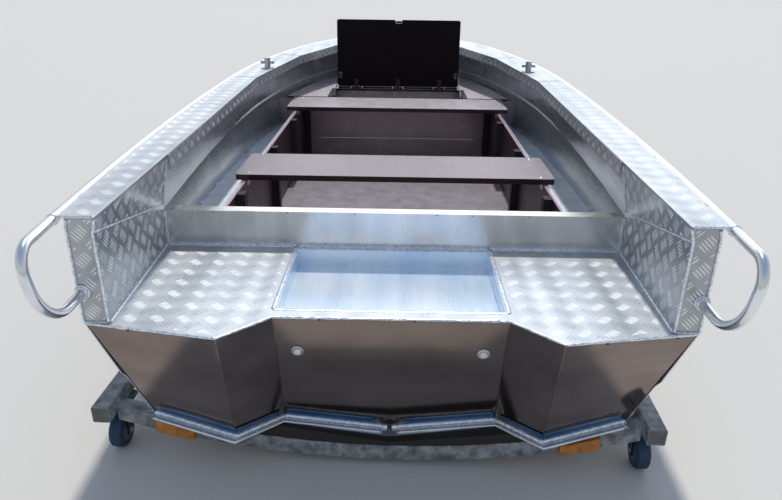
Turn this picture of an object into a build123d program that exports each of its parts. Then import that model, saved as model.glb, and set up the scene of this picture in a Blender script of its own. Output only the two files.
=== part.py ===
"""An open welded aluminium fishing boat, standing on its wheeled steel cradle.

Millimetres. +X starboard, +Y to the bow, +Z up, with the floor at z = 0. Every y in this file is
measured from the stern end of the gunwales, and the planes below set that end at stern_y, so that
the whole thing is centred on the origin.
"""

import os
from math import acos, asin, atan, cos, degrees, hypot, radians, sin, sqrt, tan

from build123d import *

os.makedirs("parts", exist_ok=True)

# Driving dimensions of the boat
skin = 3.0  # sheet of the hull, gunwales and bulkheads
fit = 0.3  # gap between pieces that are welded or laid together
gunwale_height = 770.0  # top of the gunwale at its stern end, above the floor
sheer_angle = 1.13  # the gunwale climbs to the bow
rail_radius = 12.5
rail_drop = 10.0  # the rail's centre below the gunwale's top
rail_start_x = 784.5  # the rail's centre at the stern
rail_start_heading = 3.7  # degrees outboard there
side_inset = 27.0  # the side sheets' outer face, inboard of the rail's centre
gunwale_inner_stern = 683.0
knuckle_height = 490.0  # fold between the upper and lower strake, at the stern
knuckle_climb = 0.0727  # for each millimetre forward
knuckle_ease = 8.3e-6  # and the climb eases toward the bow
strake_crease = 7.0  # step of the pressed swages in the lower strake
platform_height = 490.0
transom_rake = 12.0
transom_sheet = 5.0  # measured along y
bottom_lip = 30.0
keel_half = 25.0
keelson_height = 40.0
keelson_ys = (30.0, 1300.0, 2400.0)
keelson_start = 140.0
eye_radius = 15.0
eye_bore = 7.0
drain_x = 244.5
drain_z = 377.0
drain_spots = ((-drain_x, drain_z), (drain_x, drain_z))
drain_flange = 17.0
drain_tube = 13.0
drain_bore = 10.0
well_half = 300.0
well_aft = 90.0
well_front = 480.0
well_depth = 55.0
bulkhead_y = 507.0
bulkhead_top = 605.0
bulkhead_flange = 38.0
floor_top = 265.0
floor_sheet = 12.0
locker_x = 562.0  # outer face of the locker panels
locker_sheet = 15.0
seat_top = 600.0
seat_sheet = 21.0
seat_half = 588.0
seat_corner = 14.0
aft_seat_y = 907.0
aft_seat_depth = 298.0
fore_seat_y = 2185.0
fore_seat_depth = 300.0
fore_seat_half = 604.0
bow_bulkhead_y = 2505.0
deck_sheet = 12.0
hatch_half = 388.0
hatch_front = 2795.0
angle_leg = 25.0
angle_sheet = 2.0
shelf_z = 440.0
lid_half = 378.0
lid_length = 398.0
lid_sheet = 15.0
lid_lean = 2.4

# Driving dimensions of the cradle
cradle_tube = 50.0
cradle_x = 750.0
cradle_top = 195.0
cradle_shift = -41.0  # the cradle's middle, to port of the boat's
cradle_turn = -1.9  # degrees that the cradle is turned under the boat
cradle_aft = 27.0
cradle_fore = 2720.0
bearer_centre_z = 70.0  # top of the bowed bearers on the centreline
bearer_end_z = 172.0
bearer_height = 48.0
bearer_width = 40.0
bearer_ys = (70.0, 2250.0)
caster_ys = (148.0, 2560.0)
wheel_radius = 50.0
wheel_width = 38.0
caster_trail = 28.0
axle_radius = 6.0

# Hull stations: forward position, chine half-breadth, chine height, keel height
stations = (
    (0.0, 645.0, 170.0, 82.0),
    (700.0, 680.0, 170.0, 81.0),
    (1300.0, 698.0, 174.0, 80.0),
    (1900.0, 690.0, 183.0, 80.0),
    (2400.0, 648.0, 203.0, 83.0),
    (2800.0, 570.0, 238.0, 92.0),
    (3100.0, 468.0, 283.0, 112.0),
    (3350.0, 345.0, 335.0, 148.0),
    (3550.0, 215.0, 395.0, 205.0),
    (3680.0, 110.0, 450.0, 275.0),
    (3745.0, 45.0, 500.0, 350.0),
)
nose_y = stations[-1][0]


def faired(y):
    """The station table's columns at y, on a smooth curve through its rows."""
    rows = stations
    i = max(k for k in range(len(rows) - 1) if rows[k][0] <= y or k == 0)
    a, b = rows[i], rows[i + 1]
    before, after = rows[max(i - 1, 0)], rows[min(i + 2, len(rows) - 1)]
    span = b[0] - a[0]
    t = (y - a[0]) / span
    values = []
    for column in (1, 2, 3):
        rise_a = (b[column] - before[column]) / (b[0] - before[0]) * span
        rise_b = (after[column] - a[column]) / (after[0] - a[0]) * span
        values.append(
            a[column] * (2 * t**3 - 3 * t**2 + 1) + rise_a * (t**3 - 2 * t**2 + t)
            + b[column] * (3 * t**2 - 2 * t**3) + rise_b * (t**3 - t**2)
        )
    return tuple(values)


section_ys = (0.0, 350.0, 700.0, 1000.0, 1300.0, 1600.0, 1900.0, 2150.0, 2400.0, 2600.0, 2800.0, 2950.0, 3100.0,
              3230.0, 3350.0, 3450.0, 3550.0, 3620.0, 3680.0, nose_y)
sections = tuple((y, *faired(y)) for y in section_ys)

# Plan of the rail's centreline from the stern: radius of each arc and the heading where it ends.
# Heading is the angle outboard of straight ahead.
rail_plan = ((18700.0, -2.0), (4510.0, -18.1), (1433.0, None))


def plan_arcs(inset):
    """The arcs of a line inboard of the rail's centreline: side, centre x and y, radius, headings."""
    arcs = []
    x, y, heading = rail_start_x, 0.0, rail_start_heading
    for radius, end in rail_plan:
        outward = end is not None and end > heading
        side = -1.0 if outward else 1.0
        cx = x - side * radius * cos(radians(heading))
        cy = y + side * radius * sin(radians(heading))
        reach = radius - side * inset
        start = heading if arcs else degrees(asin(side * cy / reach))
        if end is None:
            end = -degrees(acos(-cx / reach))
            arcs.append((side, cx, cy, reach, start, end))
            break
        arcs.append((side, cx, cy, reach, start, end))
        x = cx + side * radius * cos(radians(end))
        y = cy - side * radius * sin(radians(end))
        heading = end
    return arcs


def arc_point(arc, heading):
    side, cx, cy, radius, _, _ = arc
    return (cx + side * radius * cos(radians(heading)), cy - side * radius * sin(radians(heading)))


def half_breadth(y, inset=0.0):
    """Half-breadth of a line inboard of the rail's centreline."""
    for arc in plan_arcs(inset):
        side, cx, cy, radius, _, end = arc
        if y <= arc_point(arc, end)[1]:
            return cx + side * sqrt(radius**2 - (y - cy) ** 2)
    return 0.0




def tip_y_of(inset):
    last = plan_arcs(inset)[-1]
    return arc_point(last, last[5])[1]


bow_tip_y = tip_y_of(0.0)
loop_reach = 183.0  # corners of the handle loop behind the gunwale, before their bends
loop_drop = 185.0
loop_tuck = 28.0  # the loop's lower run stands inboard of its top
loop_bends = (103.0, 62.0)  # lower and upper
tip_overrun = 1.2  # degrees that the rail is drawn past the centreline, before it is cut there
sheer = radians(sheer_angle)
sheer_slope = tan(sheer)
loop_aft = loop_reach * cos(sheer) - (rail_drop + loop_bends[1]) * sin(sheer) + rail_radius
stern_y = (loop_aft - tip_y_of(-rail_radius) * cos(sheer) - rail_drop * sin(sheer)) / 2

sheer_plane = Plane(
    origin=(0, stern_y, gunwale_height),
    x_dir=(1, 0, 0),
    z_dir=(0, -sin(radians(sheer_angle)), cos(radians(sheer_angle))),
)


def across(y):
    """Plane across the boat: local x is starboard and local y is up."""
    return Plane(origin=(0, y + stern_y, 0), x_dir=(1, 0, 0), z_dir=(0, -1, 0))


def level(z):
    return Plane(origin=(0, stern_y, z), x_dir=(1, 0, 0), z_dir=(0, 0, 1))


def along(x):
    """Plane along the boat: local x is forward and local y is up."""
    return Plane(origin=(x, stern_y, 0), x_dir=(0, 1, 0), z_dir=(1, 0, 0))


# The cradle's own axes: the same three kinds of plane, moved and turned with it
yaw = radians(cradle_turn)


def cradle_point(x, y):
    """A point of the cradle's plan, on the boat's axes."""
    return (cradle_shift + x * cos(yaw) - y * sin(yaw), stern_y + y * cos(yaw) + x * sin(yaw))


def cradle_across(y):
    return Plane(origin=(*cradle_point(0.0, y), 0), x_dir=(cos(yaw), sin(yaw), 0), z_dir=(sin(yaw), -cos(yaw), 0))


def cradle_level(z):
    return Plane(origin=(*cradle_point(0.0, 0.0), z), x_dir=(cos(yaw), sin(yaw), 0), z_dir=(0, 0, 1))


def cradle_along(x):
    return Plane(origin=(*cradle_point(x, 0.0), 0), x_dir=(-sin(yaw), cos(yaw), 0), z_dir=(cos(yaw), sin(yaw), 0))


def outline(*points):
    Polygon(*points, align=None)


def strip(points, dx, dz):
    """A thin closed outline: the points, and the same points moved by dx, dz."""
    return list(points) + [(x + dx, z + dz) for x, z in reversed(points)]


def save(part, name):
    part.label = name
    export_step(part, f"parts/{name}.step")


def gunwale_z(y):
    return gunwale_height + y * sheer_slope


def between(y):
    """The sections before and after y, and how far y is from the first to the second."""
    for a, b in zip(sections, sections[1:]):
        if y <= b[0]:
            return a, b, (y - a[0]) / (b[0] - a[0])
    return sections[-2], sections[-1], 1.0


def hull_line(y):
    """Chine half-breadth, chine height and keel height at y, on the sheets' straight runs."""
    a, b, t = between(y)
    return tuple(p + t * (q - p) for p, q in zip(a[1:], b[1:]))


def knuckle_z(y):
    return knuckle_height + knuckle_climb * y - knuckle_ease * y**2


def side_section(section):
    """The outer face of a side sheet at one of the sections, from the chine up to the rail."""
    y, chine_x, chine_z, _ = section
    top_x = half_breadth(y) - side_inset
    fold_z = knuckle_z(y)

    def lower(share, out):
        return (
            chine_x + share * (top_x - chine_x) + out,
            chine_z + share * (fold_z - chine_z),
        )

    return [
        lower(0.0, 0.0),
        lower(0.42, 0.0),
        lower(0.47, strake_crease),
        lower(1.0, 0.0),
        (top_x, gunwale_z(y) - skin - 2 * fit),
    ]


def side_line(y):
    """The side sheet's outer face at any y, on the straight runs between two sections."""
    a, b, t = between(y)
    return [
        (x0 + t * (x1 - x0), z0 + t * (z1 - z0))
        for (x0, z0), (x1, z1) in zip(side_section(a), side_section(b))
    ]


def side_x(y, z, inner=True):
    """Half-breadth of the side sheet's face at height z."""
    points = side_line(y)
    for (x0, z0), (x1, z1) in zip(points, points[1:]):
        if z <= z1:
            x = x0 + (z - z0) / (z1 - z0) * (x1 - x0)
            return x - skin if inner else x
    return points[-1][0] - (skin if inner else 0)


def bottom_z(y, x):
    """Underside of the bottom plate."""
    chine_x, chine_z, keel_z = hull_line(y)
    return keel_z + (chine_z - keel_z) * abs(x) / chine_x


# Transom plan at the platform: half-breadth and y, from the side to the centre panel
side_in_x = rail_start_x - side_inset - skin  # the side sheet's inner face at the stern
transom_top = ((side_in_x - 1.5, 0.0), (417.0, -62.0), (301.0, 47.0))
transom_foot_x = (640.0, 409.0, 298.0)  # the same corners at the bottom
transom_foot_z = (170.0, 133.0, 119.0)


def transom_corner(index, z):
    """A corner of the transom's outer face at height z."""
    top_x, top_y = transom_top[index]
    share = (platform_height - z) / (platform_height - transom_foot_z[index])
    x = top_x + share * (transom_foot_x[index] - top_x)
    return (x, top_y + (platform_height - z) * tan(radians(transom_rake)))


def mirror_points(points):
    return list(points) + [(-x, y) for x, y in reversed(points)]


# Bottom plate: one V-shaped sheet, whose stern edge follows the folds of the transom
with BuildPart() as bottom_plate:
    for y in (-120.0, *section_ys[1:]):
        chine_x, chine_z, keel_z = hull_line(y)
        with BuildSketch(across(y)):
            right = [(chine_x, chine_z), (0.0, keel_z)]
            left = [(-chine_x, chine_z)]
            lower = right + left
            outline(*lower, *[(x, z + skin) for x, z in reversed(lower)])
    loft(ruled=True)
    with BuildSketch(level(0.0)):
        lip = [transom_corner(i, transom_foot_z[i]) for i in range(3)]
        edge = mirror_points([(x, y - bottom_lip) for x, y in lip])
        outline(*edge, (-900.0, lip[0][1] - bottom_lip), (-900.0, -300.0),
                (900.0, -300.0), (900.0, lip[0][1] - bottom_lip))
    extrude(amount=300.0, mode=Mode.SUBTRACT)
save(bottom_plate.part, "bottom_plate")

# Side sheets: lower strake with pressed swages, a knuckle and an upright upper strake
with BuildPart() as side_sheets:
    for section in sections:
        with BuildSketch(across(section[0])):
            points = side_section(section)
            points[0] = (points[0][0], points[0][1] + skin + fit)
            outline(*strip(points, -skin, 0.0))
    loft(ruled=True)
    with BuildSketch(along(0.0)):
        rake_foot = platform_height * tan(radians(transom_rake))
        outline((0.0, platform_height), (rake_foot, 0.0), (-50.0, 0.0), (-50.0, platform_height))
    extrude(amount=900.0, mode=Mode.SUBTRACT)
    mirror(about=Plane.YZ)
save(side_sheets.part, "side_sheets")

# Chine profiles: hollow triangular strips along the corner of side and bottom
with BuildPart() as chine_profiles:
    for shrink, mode in ((1.0, Mode.ADD), (0.58, Mode.SUBTRACT)):
        for y, chine_x, chine_z, _ in sections[:15]:
            top = (side_x(y, chine_z + 40.0, inner=False) + fit, chine_z + 40.0)
            heel = (chine_x + fit, chine_z + 3.0)
            nose = (chine_x + 10.0, chine_z + 3.0)
            cx = (top[0] + heel[0] + nose[0]) / 3
            cz = (top[1] + heel[1] + nose[1]) / 3
            with BuildSketch(across(y)):
                outline(*[(cx + shrink * (x - cx), cz + shrink * (z - cz)) for x, z in (top, heel, nose)])
        loft(ruled=True, mode=mode)
    with BuildSketch(along(0.0)):
        outline((0.0, platform_height), (rake_foot, 0.0), (-50.0, 0.0), (-50.0, platform_height))
    extrude(amount=900.0, mode=Mode.SUBTRACT)
    mirror(about=Plane.YZ)
save(chine_profiles.part, "chine_profiles")

# Transom: a folded sheet with five panels, standing on the bottom plate
transom_ends = (40.0, platform_height - skin - fit)
panel_plane = Plane(
    origin=(0, transom_top[2][1] + stern_y, platform_height),
    x_dir=(1, 0, 0),
    z_dir=(0, -cos(radians(transom_rake)), -sin(radians(transom_rake))),
)
with BuildPart() as transom:
    for z in transom_ends:
        with BuildSketch(level(z)):
            outline(*strip([transom_corner(i, z) for i in range(3)], 0.0, transom_sheet))
    loft(ruled=True)
    mirror(about=Plane.YZ)
    with BuildSketch(panel_plane):
        centre = [(transom_corner(2, z)[0], (z - platform_height) / cos(radians(transom_rake))) for z in transom_ends]
        outline(*centre, *[(-x, v) for x, v in reversed(centre)])
    extrude(amount=transom_sheet, dir=(0, 1, 0))
    chine_x, chine_z, keel_z = hull_line(0.0)
    reach = 1.3 * chine_x
    with BuildSketch(across(-200.0)):
        lift = skin + 0.8
        outline((0.0, keel_z + lift), (reach, keel_z + lift + 1.3 * (chine_z - keel_z)), (reach, 0.0),
                (-reach, 0.0), (-reach, keel_z + lift + 1.3 * (chine_z - keel_z)))
    extrude(amount=-500.0, mode=Mode.SUBTRACT)
    with BuildSketch(across(-200.0)):
        outline((-29.0, keel_z), (29.0, keel_z), (29.0, keel_z + 12.0), (0.0, keel_z + 44.0), (-29.0, keel_z + 12.0))
    extrude(amount=-500.0, mode=Mode.SUBTRACT)
    with BuildSketch(across(-200.0)):
        with Locations(*drain_spots):
            Circle(drain_tube + 1.0)
    extrude(amount=-500.0, mode=Mode.SUBTRACT)
save(transom.part, "transom")

# Drain fittings: a flanged tube through the transom with a plug in it, square to the raked panel
drain_y = transom_top[2][1] + (platform_height - drain_z) * tan(radians(transom_rake))
drain_plane = Plane(origin=(0, drain_y + stern_y, drain_z), x_dir=(1, 0, 0), z_dir=panel_plane.z_dir)
with BuildPart() as drains:
    for radius, start, length in ((drain_flange, fit, 3.0), (drain_tube, fit, -30.0)):
        with BuildSketch(drain_plane.offset(start)):
            with Locations((-drain_x, 0.0), (drain_x, 0.0)):
                Circle(radius)
                Circle(drain_bore, mode=Mode.SUBTRACT)
        extrude(amount=length)
save(drains.part, "drain_fittings")
with BuildPart() as plugs:
    with BuildSketch(drain_plane.offset(fit + 5.0)):
        with Locations((-drain_x, 0.0), (drain_x, 0.0)):
            Circle(drain_bore - 0.2)
    extrude(amount=-22.0)
save(plugs.part, "drain_plugs")

# Keelson: a hollow roof-shaped profile on the bottom plate, open through the transom
with BuildPart() as keelson:
    for y in keelson_ys:
        _, _, keel_z = hull_line(y)
        foot = bottom_z(y, keel_half) + skin + fit
        with BuildSketch(across(max(y, keelson_start))):
            outline((keel_half, foot), (keel_half, foot + 6.0), (0.0, keel_z + keelson_height), (-keel_half, foot + 6.0),
                    (-keel_half, foot), (-keel_half + 3.0, foot), (0.0, keel_z + keelson_height - 4.0),
                    (keel_half - 3.0, foot))
    loft(ruled=True)
save(keelson.part, "keelson")

# Engine well: a smooth tray hung between the platforms
with BuildPart() as engine_well:
    tray_top = platform_height - fit
    with BuildSketch(level(tray_top)):
        with Locations((0.0, (well_aft + well_front) / 2)):
            Rectangle(2 * well_half, well_front - well_aft)
    extrude(amount=-well_depth)
    with BuildSketch(level(tray_top)):
        with Locations((0.0, (well_aft + well_front) / 2)):
            Rectangle(2 * (well_half - skin), well_front - well_aft - 2 * skin)
    extrude(amount=-(well_depth - skin), mode=Mode.SUBTRACT)
save(engine_well.part, "engine_well")

# Platforms: one sheet around the well, from the transom to the aft bulkhead
with BuildPart() as platform:
    with BuildSketch(level(platform_height)):
        front = bulkhead_y - fit
        side = side_in_x - skin
        outline(*mirror_points([(side, front), (side, 0.0), transom_top[1], transom_top[2]]))
        with Locations((0.0, (well_aft + well_front) / 2)):
            Rectangle(2 * (well_half + fit), well_front - well_aft + 2 * fit, mode=Mode.SUBTRACT)
    extrude(amount=-skin)
save(platform.part, "platforms")

# Walls beside the platforms: an upright sheet below, leaning in to the gunwale above
wall_top_x = 684.5
wall_stern_x = 694.0
wall_fold_drop = 40.0  # from the gunwale's top to the fold, at the stern
wall_fold_rise = 132.0  # from the platform to the fold, at the bulkhead
wall_front_x = (714.0, 716.0)  # at the fold and at the foot, at the bulkhead
wall_lines = (
    (0.0, ((wall_top_x, gunwale_height - 4.0), (wall_stern_x, gunwale_height - wall_fold_drop),
           (wall_stern_x, platform_height + fit))),
    (bulkhead_y - fit, ((wall_top_x, gunwale_z(bulkhead_y) - 5.0), (wall_front_x[0], platform_height + wall_fold_rise),
                        (wall_front_x[1], platform_height + fit))),
)
with BuildPart() as well_walls:
    for y, points in wall_lines:
        with BuildSketch(across(y)):
            outline(*strip(points, skin, 0.0))
    loft(ruled=True)
    mirror(about=Plane.YZ)
save(well_walls.part, "well_walls")

# Stern end plates: they close the space under each gunwale
with BuildPart() as end_plates:
    with BuildSketch(across(0.0)):
        wall = wall_lines[0][1]
        out_x = side_in_x - fit
        outline((wall[2][0] + skin + fit, wall[2][1]), (out_x, platform_height + fit),
                (out_x, gunwale_height - skin - 2 * fit), (wall[0][0] + skin + fit, gunwale_height - skin - 2 * fit),
                (wall[1][0] + skin + fit, wall[1][1]))
    extrude(amount=-skin)
    mirror(about=Plane.YZ)
save(end_plates.part, "stern_end_plates")


def hull_section(y, margin, notch=0.0):
    """Inside outline of the hull on the starboard side, from the keel up to the knuckle."""
    points = [(0.0, bottom_z(y, 0.0) + skin + margin)]
    if notch:
        over = bottom_z(y, 0.0) + keelson_height + margin
        points = [(0.0, over), (notch, over), (notch, bottom_z(y, notch) + skin + margin)]
    chine_x, chine_z, _ = hull_line(y)
    points.append((chine_x - skin - margin - 2.0, bottom_z(y, chine_x - 5.0) + skin + margin))
    side = side_line(y)
    points += [(x - skin - margin, z) for x, z in side[1:4]]
    return points


# Aft bulkhead: across the whole hull, with a flange along its top and wings up to the gunwales
with BuildPart() as aft_bulkhead:
    with BuildSketch(across(bulkhead_y)):
        half = hull_section(bulkhead_y, 0.8, keel_half + 1.0)
        wing_x = wall_lines[1][1][2][0] + skin + fit
        wing_top = gunwale_z(bulkhead_y) - skin - 1.0
        half += [(half[-1][0], wing_top), (wing_x, wing_top), (wing_x, bulkhead_top)]
        outline(*mirror_points(half)[1:])
    extrude(amount=-skin)
    with BuildSketch(along(0.0)):
        y0 = bulkhead_y
        outline((y0 - 4.0, bulkhead_top), (y0 + bulkhead_flange, bulkhead_top),
                (y0 + bulkhead_flange, bulkhead_top - skin), (y0 - 4.0, bulkhead_top - skin))
    extrude(amount=wall_lines[1][1][1][0] - 2.0, both=True)
save(aft_bulkhead.part, "aft_bulkhead")

# Gunwales: flat tops between the rail and a folded skirt, with mitred kinks toward the bow
inner_line = ((684.0, 1850.0), (576.0, 2600.0), (410.0, 3080.0), (175.0, 3300.0))
bow_split = inner_line[2][1]
skirt_depth = 45.0
plate_inset = rail_radius + fit


def plan_path(inset):
    for arc in plan_arcs(inset):
        h0, h1 = arc[4], arc[5]
        ThreePointArc(arc_point(arc, h0), arc_point(arc, (h0 + h1) / 2), arc_point(arc, h1))


def gunwale_ring():
    """The edges of the starboard half of the top, drawn on the sheer plane."""
    last = plan_arcs(plate_inset)[-1]
    tip = arc_point(last, last[5])
    plan_path(plate_inset)
    Line(tip, (0.0, inner_line[3][1]))
    Polyline((0.0, inner_line[3][1]), *reversed(inner_line), (gunwale_inner_stern, 0.0))
    first = plan_arcs(plate_inset)[0]
    Line((gunwale_inner_stern, 0.0), arc_point(first, first[4]))


with BuildPart() as gunwales:
    with BuildSketch(sheer_plane):
        with BuildLine():
            gunwale_ring()
        make_face()
        with Locations((0.0, bow_split + bow_tip_y / 2)):
            Rectangle(4 * rail_start_x, bow_tip_y, mode=Mode.SUBTRACT)
    extrude(amount=-skin)
    with BuildSketch(sheer_plane.offset(-skin)):
        skirt = ((681.6, bulkhead_y + 5.0),) + inner_line[:3]
        outline(*skirt, *[(x + skin, y + 1.0) for x, y in reversed(skirt[:-1])])
    extrude(amount=-skirt_depth)
    mirror(about=Plane.YZ)
save(gunwales.part, "gunwales")

with BuildPart() as bow_plate:
    with BuildSketch(sheer_plane):
        with BuildLine():
            gunwale_ring()
        make_face()
        with Locations((0.0, bow_split + fit - bow_tip_y / 2)):
            Rectangle(4 * rail_start_x, bow_tip_y, mode=Mode.SUBTRACT)
        mirror(about=Plane.YZ)
    extrude(amount=-skin)
    with BuildSketch(sheer_plane.offset(-skin)):
        skirt = ((inner_line[2][0] - 3.0, bow_split + 4.0), inner_line[3])
        outline(*mirror_points(skirt), *[(x, y + 4.0) for x, y in reversed(mirror_points(skirt))])
    extrude(amount=-skirt_depth)
save(bow_plate.part, "bow_plate")

# Rails: a tube along each gunwale's edge that goes on into the handle loop at the stern
with BuildPart() as rails:
    with BuildLine(sheer_plane) as rail_path:
        foot_z = -rail_drop - loop_drop
        corner_x = rail_start_x - loop_reach * tan(radians(rail_start_heading))
        foot_x = corner_x - loop_tuck
        foot_y = foot_z * sin(sheer) - fit - 0.5
        FilletPolyline((foot_x, foot_y, foot_z), (foot_x, -loop_reach, foot_z),
                       (corner_x, -loop_reach, -rail_drop), (rail_start_x, 0.0, -rail_drop),
                       radius=loop_bends)
        last = len(rail_plan) - 1
        for i, arc in enumerate(plan_arcs(0.0)):
            h0, h1 = arc[4], arc[5] - (tip_overrun if i == last else 0.0)
            ThreePointArc((*arc_point(arc, h0), -rail_drop), (*arc_point(arc, (h0 + h1) / 2), -rail_drop),
                          (*arc_point(arc, h1), -rail_drop))
    rail_wire = rail_path.wire()
    with BuildSketch(Plane(origin=rail_wire @ 0, z_dir=rail_wire % 0)):
        Circle(rail_radius)
    sweep(path=rail_wire)
    split(bisect_by=Plane.YZ.offset(fit / 2), keep=Keep.TOP)
    mirror(about=Plane.YZ)
save(rails.part, "rails")

# Stem: the solid nose that closes the sheets at the bow
with BuildPart() as stem:
    _, nose_chine_z, nose_keel_z = hull_line(nose_y)
    nose_side = side_line(nose_y)
    tip_y = bow_tip_y - rail_radius * 1.4 - fit
    under_rail = rail_drop + rail_radius + 2.0
    nose_top = (nose_side[4][0], gunwale_z(nose_y) - under_rail)
    with BuildSketch(across(nose_y + fit)):
        outline(*mirror_points([(0.4, nose_keel_z), nose_side[0], nose_side[3], nose_top]))
    with BuildSketch(across(tip_y)):
        tip_top = gunwale_z(tip_y) - under_rail
        outline(*mirror_points([(0.3, nose_keel_z + 150.0), (5.0, nose_chine_z + 120.0),
                                (8.0, nose_side[3][1]), (8.0, tip_top)]))
    loft(ruled=True)
save(stem.part, "stem")

# Bow eye: a lug on the stem for the towing shackle
with BuildPart() as bow_eye:
    eye_z = nose_side[3][1] - 20.0
    eye_y = tip_y + eye_bore + 4.5
    with BuildSketch(along(0.0)):
        with Locations((eye_y, eye_z)):
            Circle(eye_radius)
        with Locations((eye_y - eye_bore - 2.0, eye_z)):
            Rectangle(2 * eye_bore, 2 * eye_radius)
        with Locations((eye_y, eye_z)):
            Circle(eye_bore, mode=Mode.SUBTRACT)
    extrude(amount=4.0, both=True)
    with BuildSketch(across(nose_y + fit)):
        outline(*mirror_points([(0.4, nose_keel_z), nose_side[0], nose_side[3], nose_top]))
    with BuildSketch(across(tip_y + fit)):
        outline(*mirror_points([(0.3, nose_keel_z + 150.0), (5.0, nose_chine_z + 120.0),
                                (8.0, nose_side[3][1]), (8.0, tip_top)]))
    loft(ruled=True, mode=Mode.SUBTRACT)
save(bow_eye.part, "bow_eye")

# Bollards on the gunwales near the bow: a foot, a post and a cross arm
bollard_x, bollard_y = 682.0, 2120.0
post_height = 45.0
with BuildPart() as bollards:
    with BuildSketch(sheer_plane.offset(fit)):
        with Locations((bollard_x, bollard_y)):
            RectangleRounded(60.0, 48.0, 8.0)
    extrude(amount=5.0)
    with BuildSketch(sheer_plane.offset(fit + 5.0)):
        with Locations((bollard_x, bollard_y)):
            Circle(15.0)
    extrude(amount=post_height)
    with BuildSketch(sheer_plane.offset(fit + 5.0 + post_height)):
        with Locations((bollard_x, bollard_y)):
            Circle(18.0)
    extrude(amount=4.0)
    arm_z = gunwale_z(bollard_y) + 31.0
    with BuildSketch(along(bollard_x - 34.0)):
        with Locations((bollard_y, arm_z)):
            Circle(8.5)
    extrude(amount=68.0)
    mirror(about=Plane.YZ)
save(bollards.part, "bollards")

# Floor, and the bearers that carry it off the bottom plate
with BuildPart() as floor:
    with BuildSketch(level(floor_top)):
        with Locations((0.0, (bulkhead_y + skin + bow_bulkhead_y) / 2)):
            Rectangle(2 * (locker_x + 60.0), bow_bulkhead_y - bulkhead_y - skin - 2 * fit)
    extrude(amount=-floor_sheet)
save(floor.part, "floor")
floor_bearer_ys = (700.0, 1100.0, 1500.0, 1900.0, 2300.0)
with BuildPart() as floor_bearers:
    for y in floor_bearer_ys:
        with BuildSketch(across(y)):
            top = floor_top - floor_sheet - fit
            foot = locker_x + 40.0
            lift = skin + 0.8
            gap = keel_half + 3.0
            outline(*mirror_points([(gap, top - 60.0), (gap, bottom_z(y, gap) + lift),
                                    (foot, bottom_z(y, foot) + lift), (foot, top)])[0:4],
                    *[(-x, z) for x, z in [(foot, top), (foot, bottom_z(y, foot) + lift),
                                           (gap, bottom_z(y, gap) + lift), (gap, top - 60.0)]])
        extrude(amount=-skin)
save(floor_bearers.part, "floor_bearers")

# Lockers: plywood panels along both sides, with posts inside and an edge angle along the top
locker_top = seat_top - seat_sheet - fit
locker_front = bow_bulkhead_y - fit
locker_aft = bulkhead_y + skin + fit
locker_mid = (locker_front + locker_aft) / 2
locker_length = locker_front - locker_aft
with BuildPart() as locker_panels:
    with BuildSketch(level(floor_top + fit)):
        with Locations((locker_x - locker_sheet / 2, locker_mid)):
            Rectangle(locker_sheet, locker_length)
    extrude(amount=locker_top - angle_sheet - fit - floor_top - fit)
    mirror(about=Plane.YZ)
save(locker_panels.part, "locker_panels")
with BuildPart() as locker_angles:
    with BuildSketch(across(locker_aft)):
        edge_x = locker_x + fit
        outline((edge_x + angle_sheet, locker_top), (edge_x - 9.0, locker_top), (edge_x - 9.0, locker_top - angle_sheet),
                (edge_x, locker_top - angle_sheet), (edge_x, locker_top - angle_leg),
                (edge_x + angle_sheet, locker_top - angle_leg))
    extrude(amount=-locker_length)
    mirror(about=Plane.YZ)
save(locker_angles.part, "locker_angles")
post_ys = (760.0, 1400.0, 1960.0, 2470.0)
with BuildPart() as locker_posts:
    with BuildSketch(level(floor_top + fit)):
        for y in post_ys:
            with Locations((locker_x - locker_sheet - fit - 15.0, y)):
                Rectangle(30.0, 40.0)
    extrude(amount=locker_top - floor_top - fit)
    mirror(about=Plane.YZ)
save(locker_posts.part, "locker_posts")

# Side shelves: aluminium strips from the hull side in to the lockers
with BuildPart() as side_shelves:
    shelf_in = locker_x + fit
    with BuildSketch(level(shelf_z)):
        edge_ys = [locker_aft] + [y for y in section_ys if locker_aft < y < locker_front] + [locker_front]
        edge = [(min(side_x(y, shelf_z), side_x(y, shelf_z - skin)) - fit, y) for y in edge_ys]
        outline((shelf_in, locker_aft), *edge, (shelf_in, locker_front))
    extrude(amount=-skin)
    mirror(about=Plane.YZ)
save(side_shelves.part, "side_shelves")


def plank(name, half, y, depth):
    with BuildPart() as seat:
        with BuildSketch(level(seat_top)):
            with Locations((0.0, y + depth / 2)):
                RectangleRounded(2 * half, depth, seat_corner)
        extrude(amount=-seat_sheet)
    save(seat.part, name)


plank("aft_seat", seat_half, aft_seat_y, aft_seat_depth)
plank("forward_seat", fore_seat_half, fore_seat_y, fore_seat_depth)

# Seat brackets: small angles under the planks that hook over the locker panels
with BuildPart() as seat_brackets:
    for y in (aft_seat_y + 12.0, aft_seat_y + aft_seat_depth - 52.0, fore_seat_y + 12.0,
              fore_seat_y + fore_seat_depth - 92.0):
        with BuildSketch(across(y)):
            x0 = locker_x - locker_sheet - 2 * fit
            top = seat_top - seat_sheet - fit
            outline((x0, top), (x0 - 25.0, top), (x0 - 25.0, top - 2.0), (x0 - 2.0, top - 2.0),
                    (x0 - 2.0, top - 25.0), (x0, top - 25.0))
        extrude(amount=-40.0)
    mirror(about=Plane.YZ)
save(seat_brackets.part, "seat_brackets")

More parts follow.
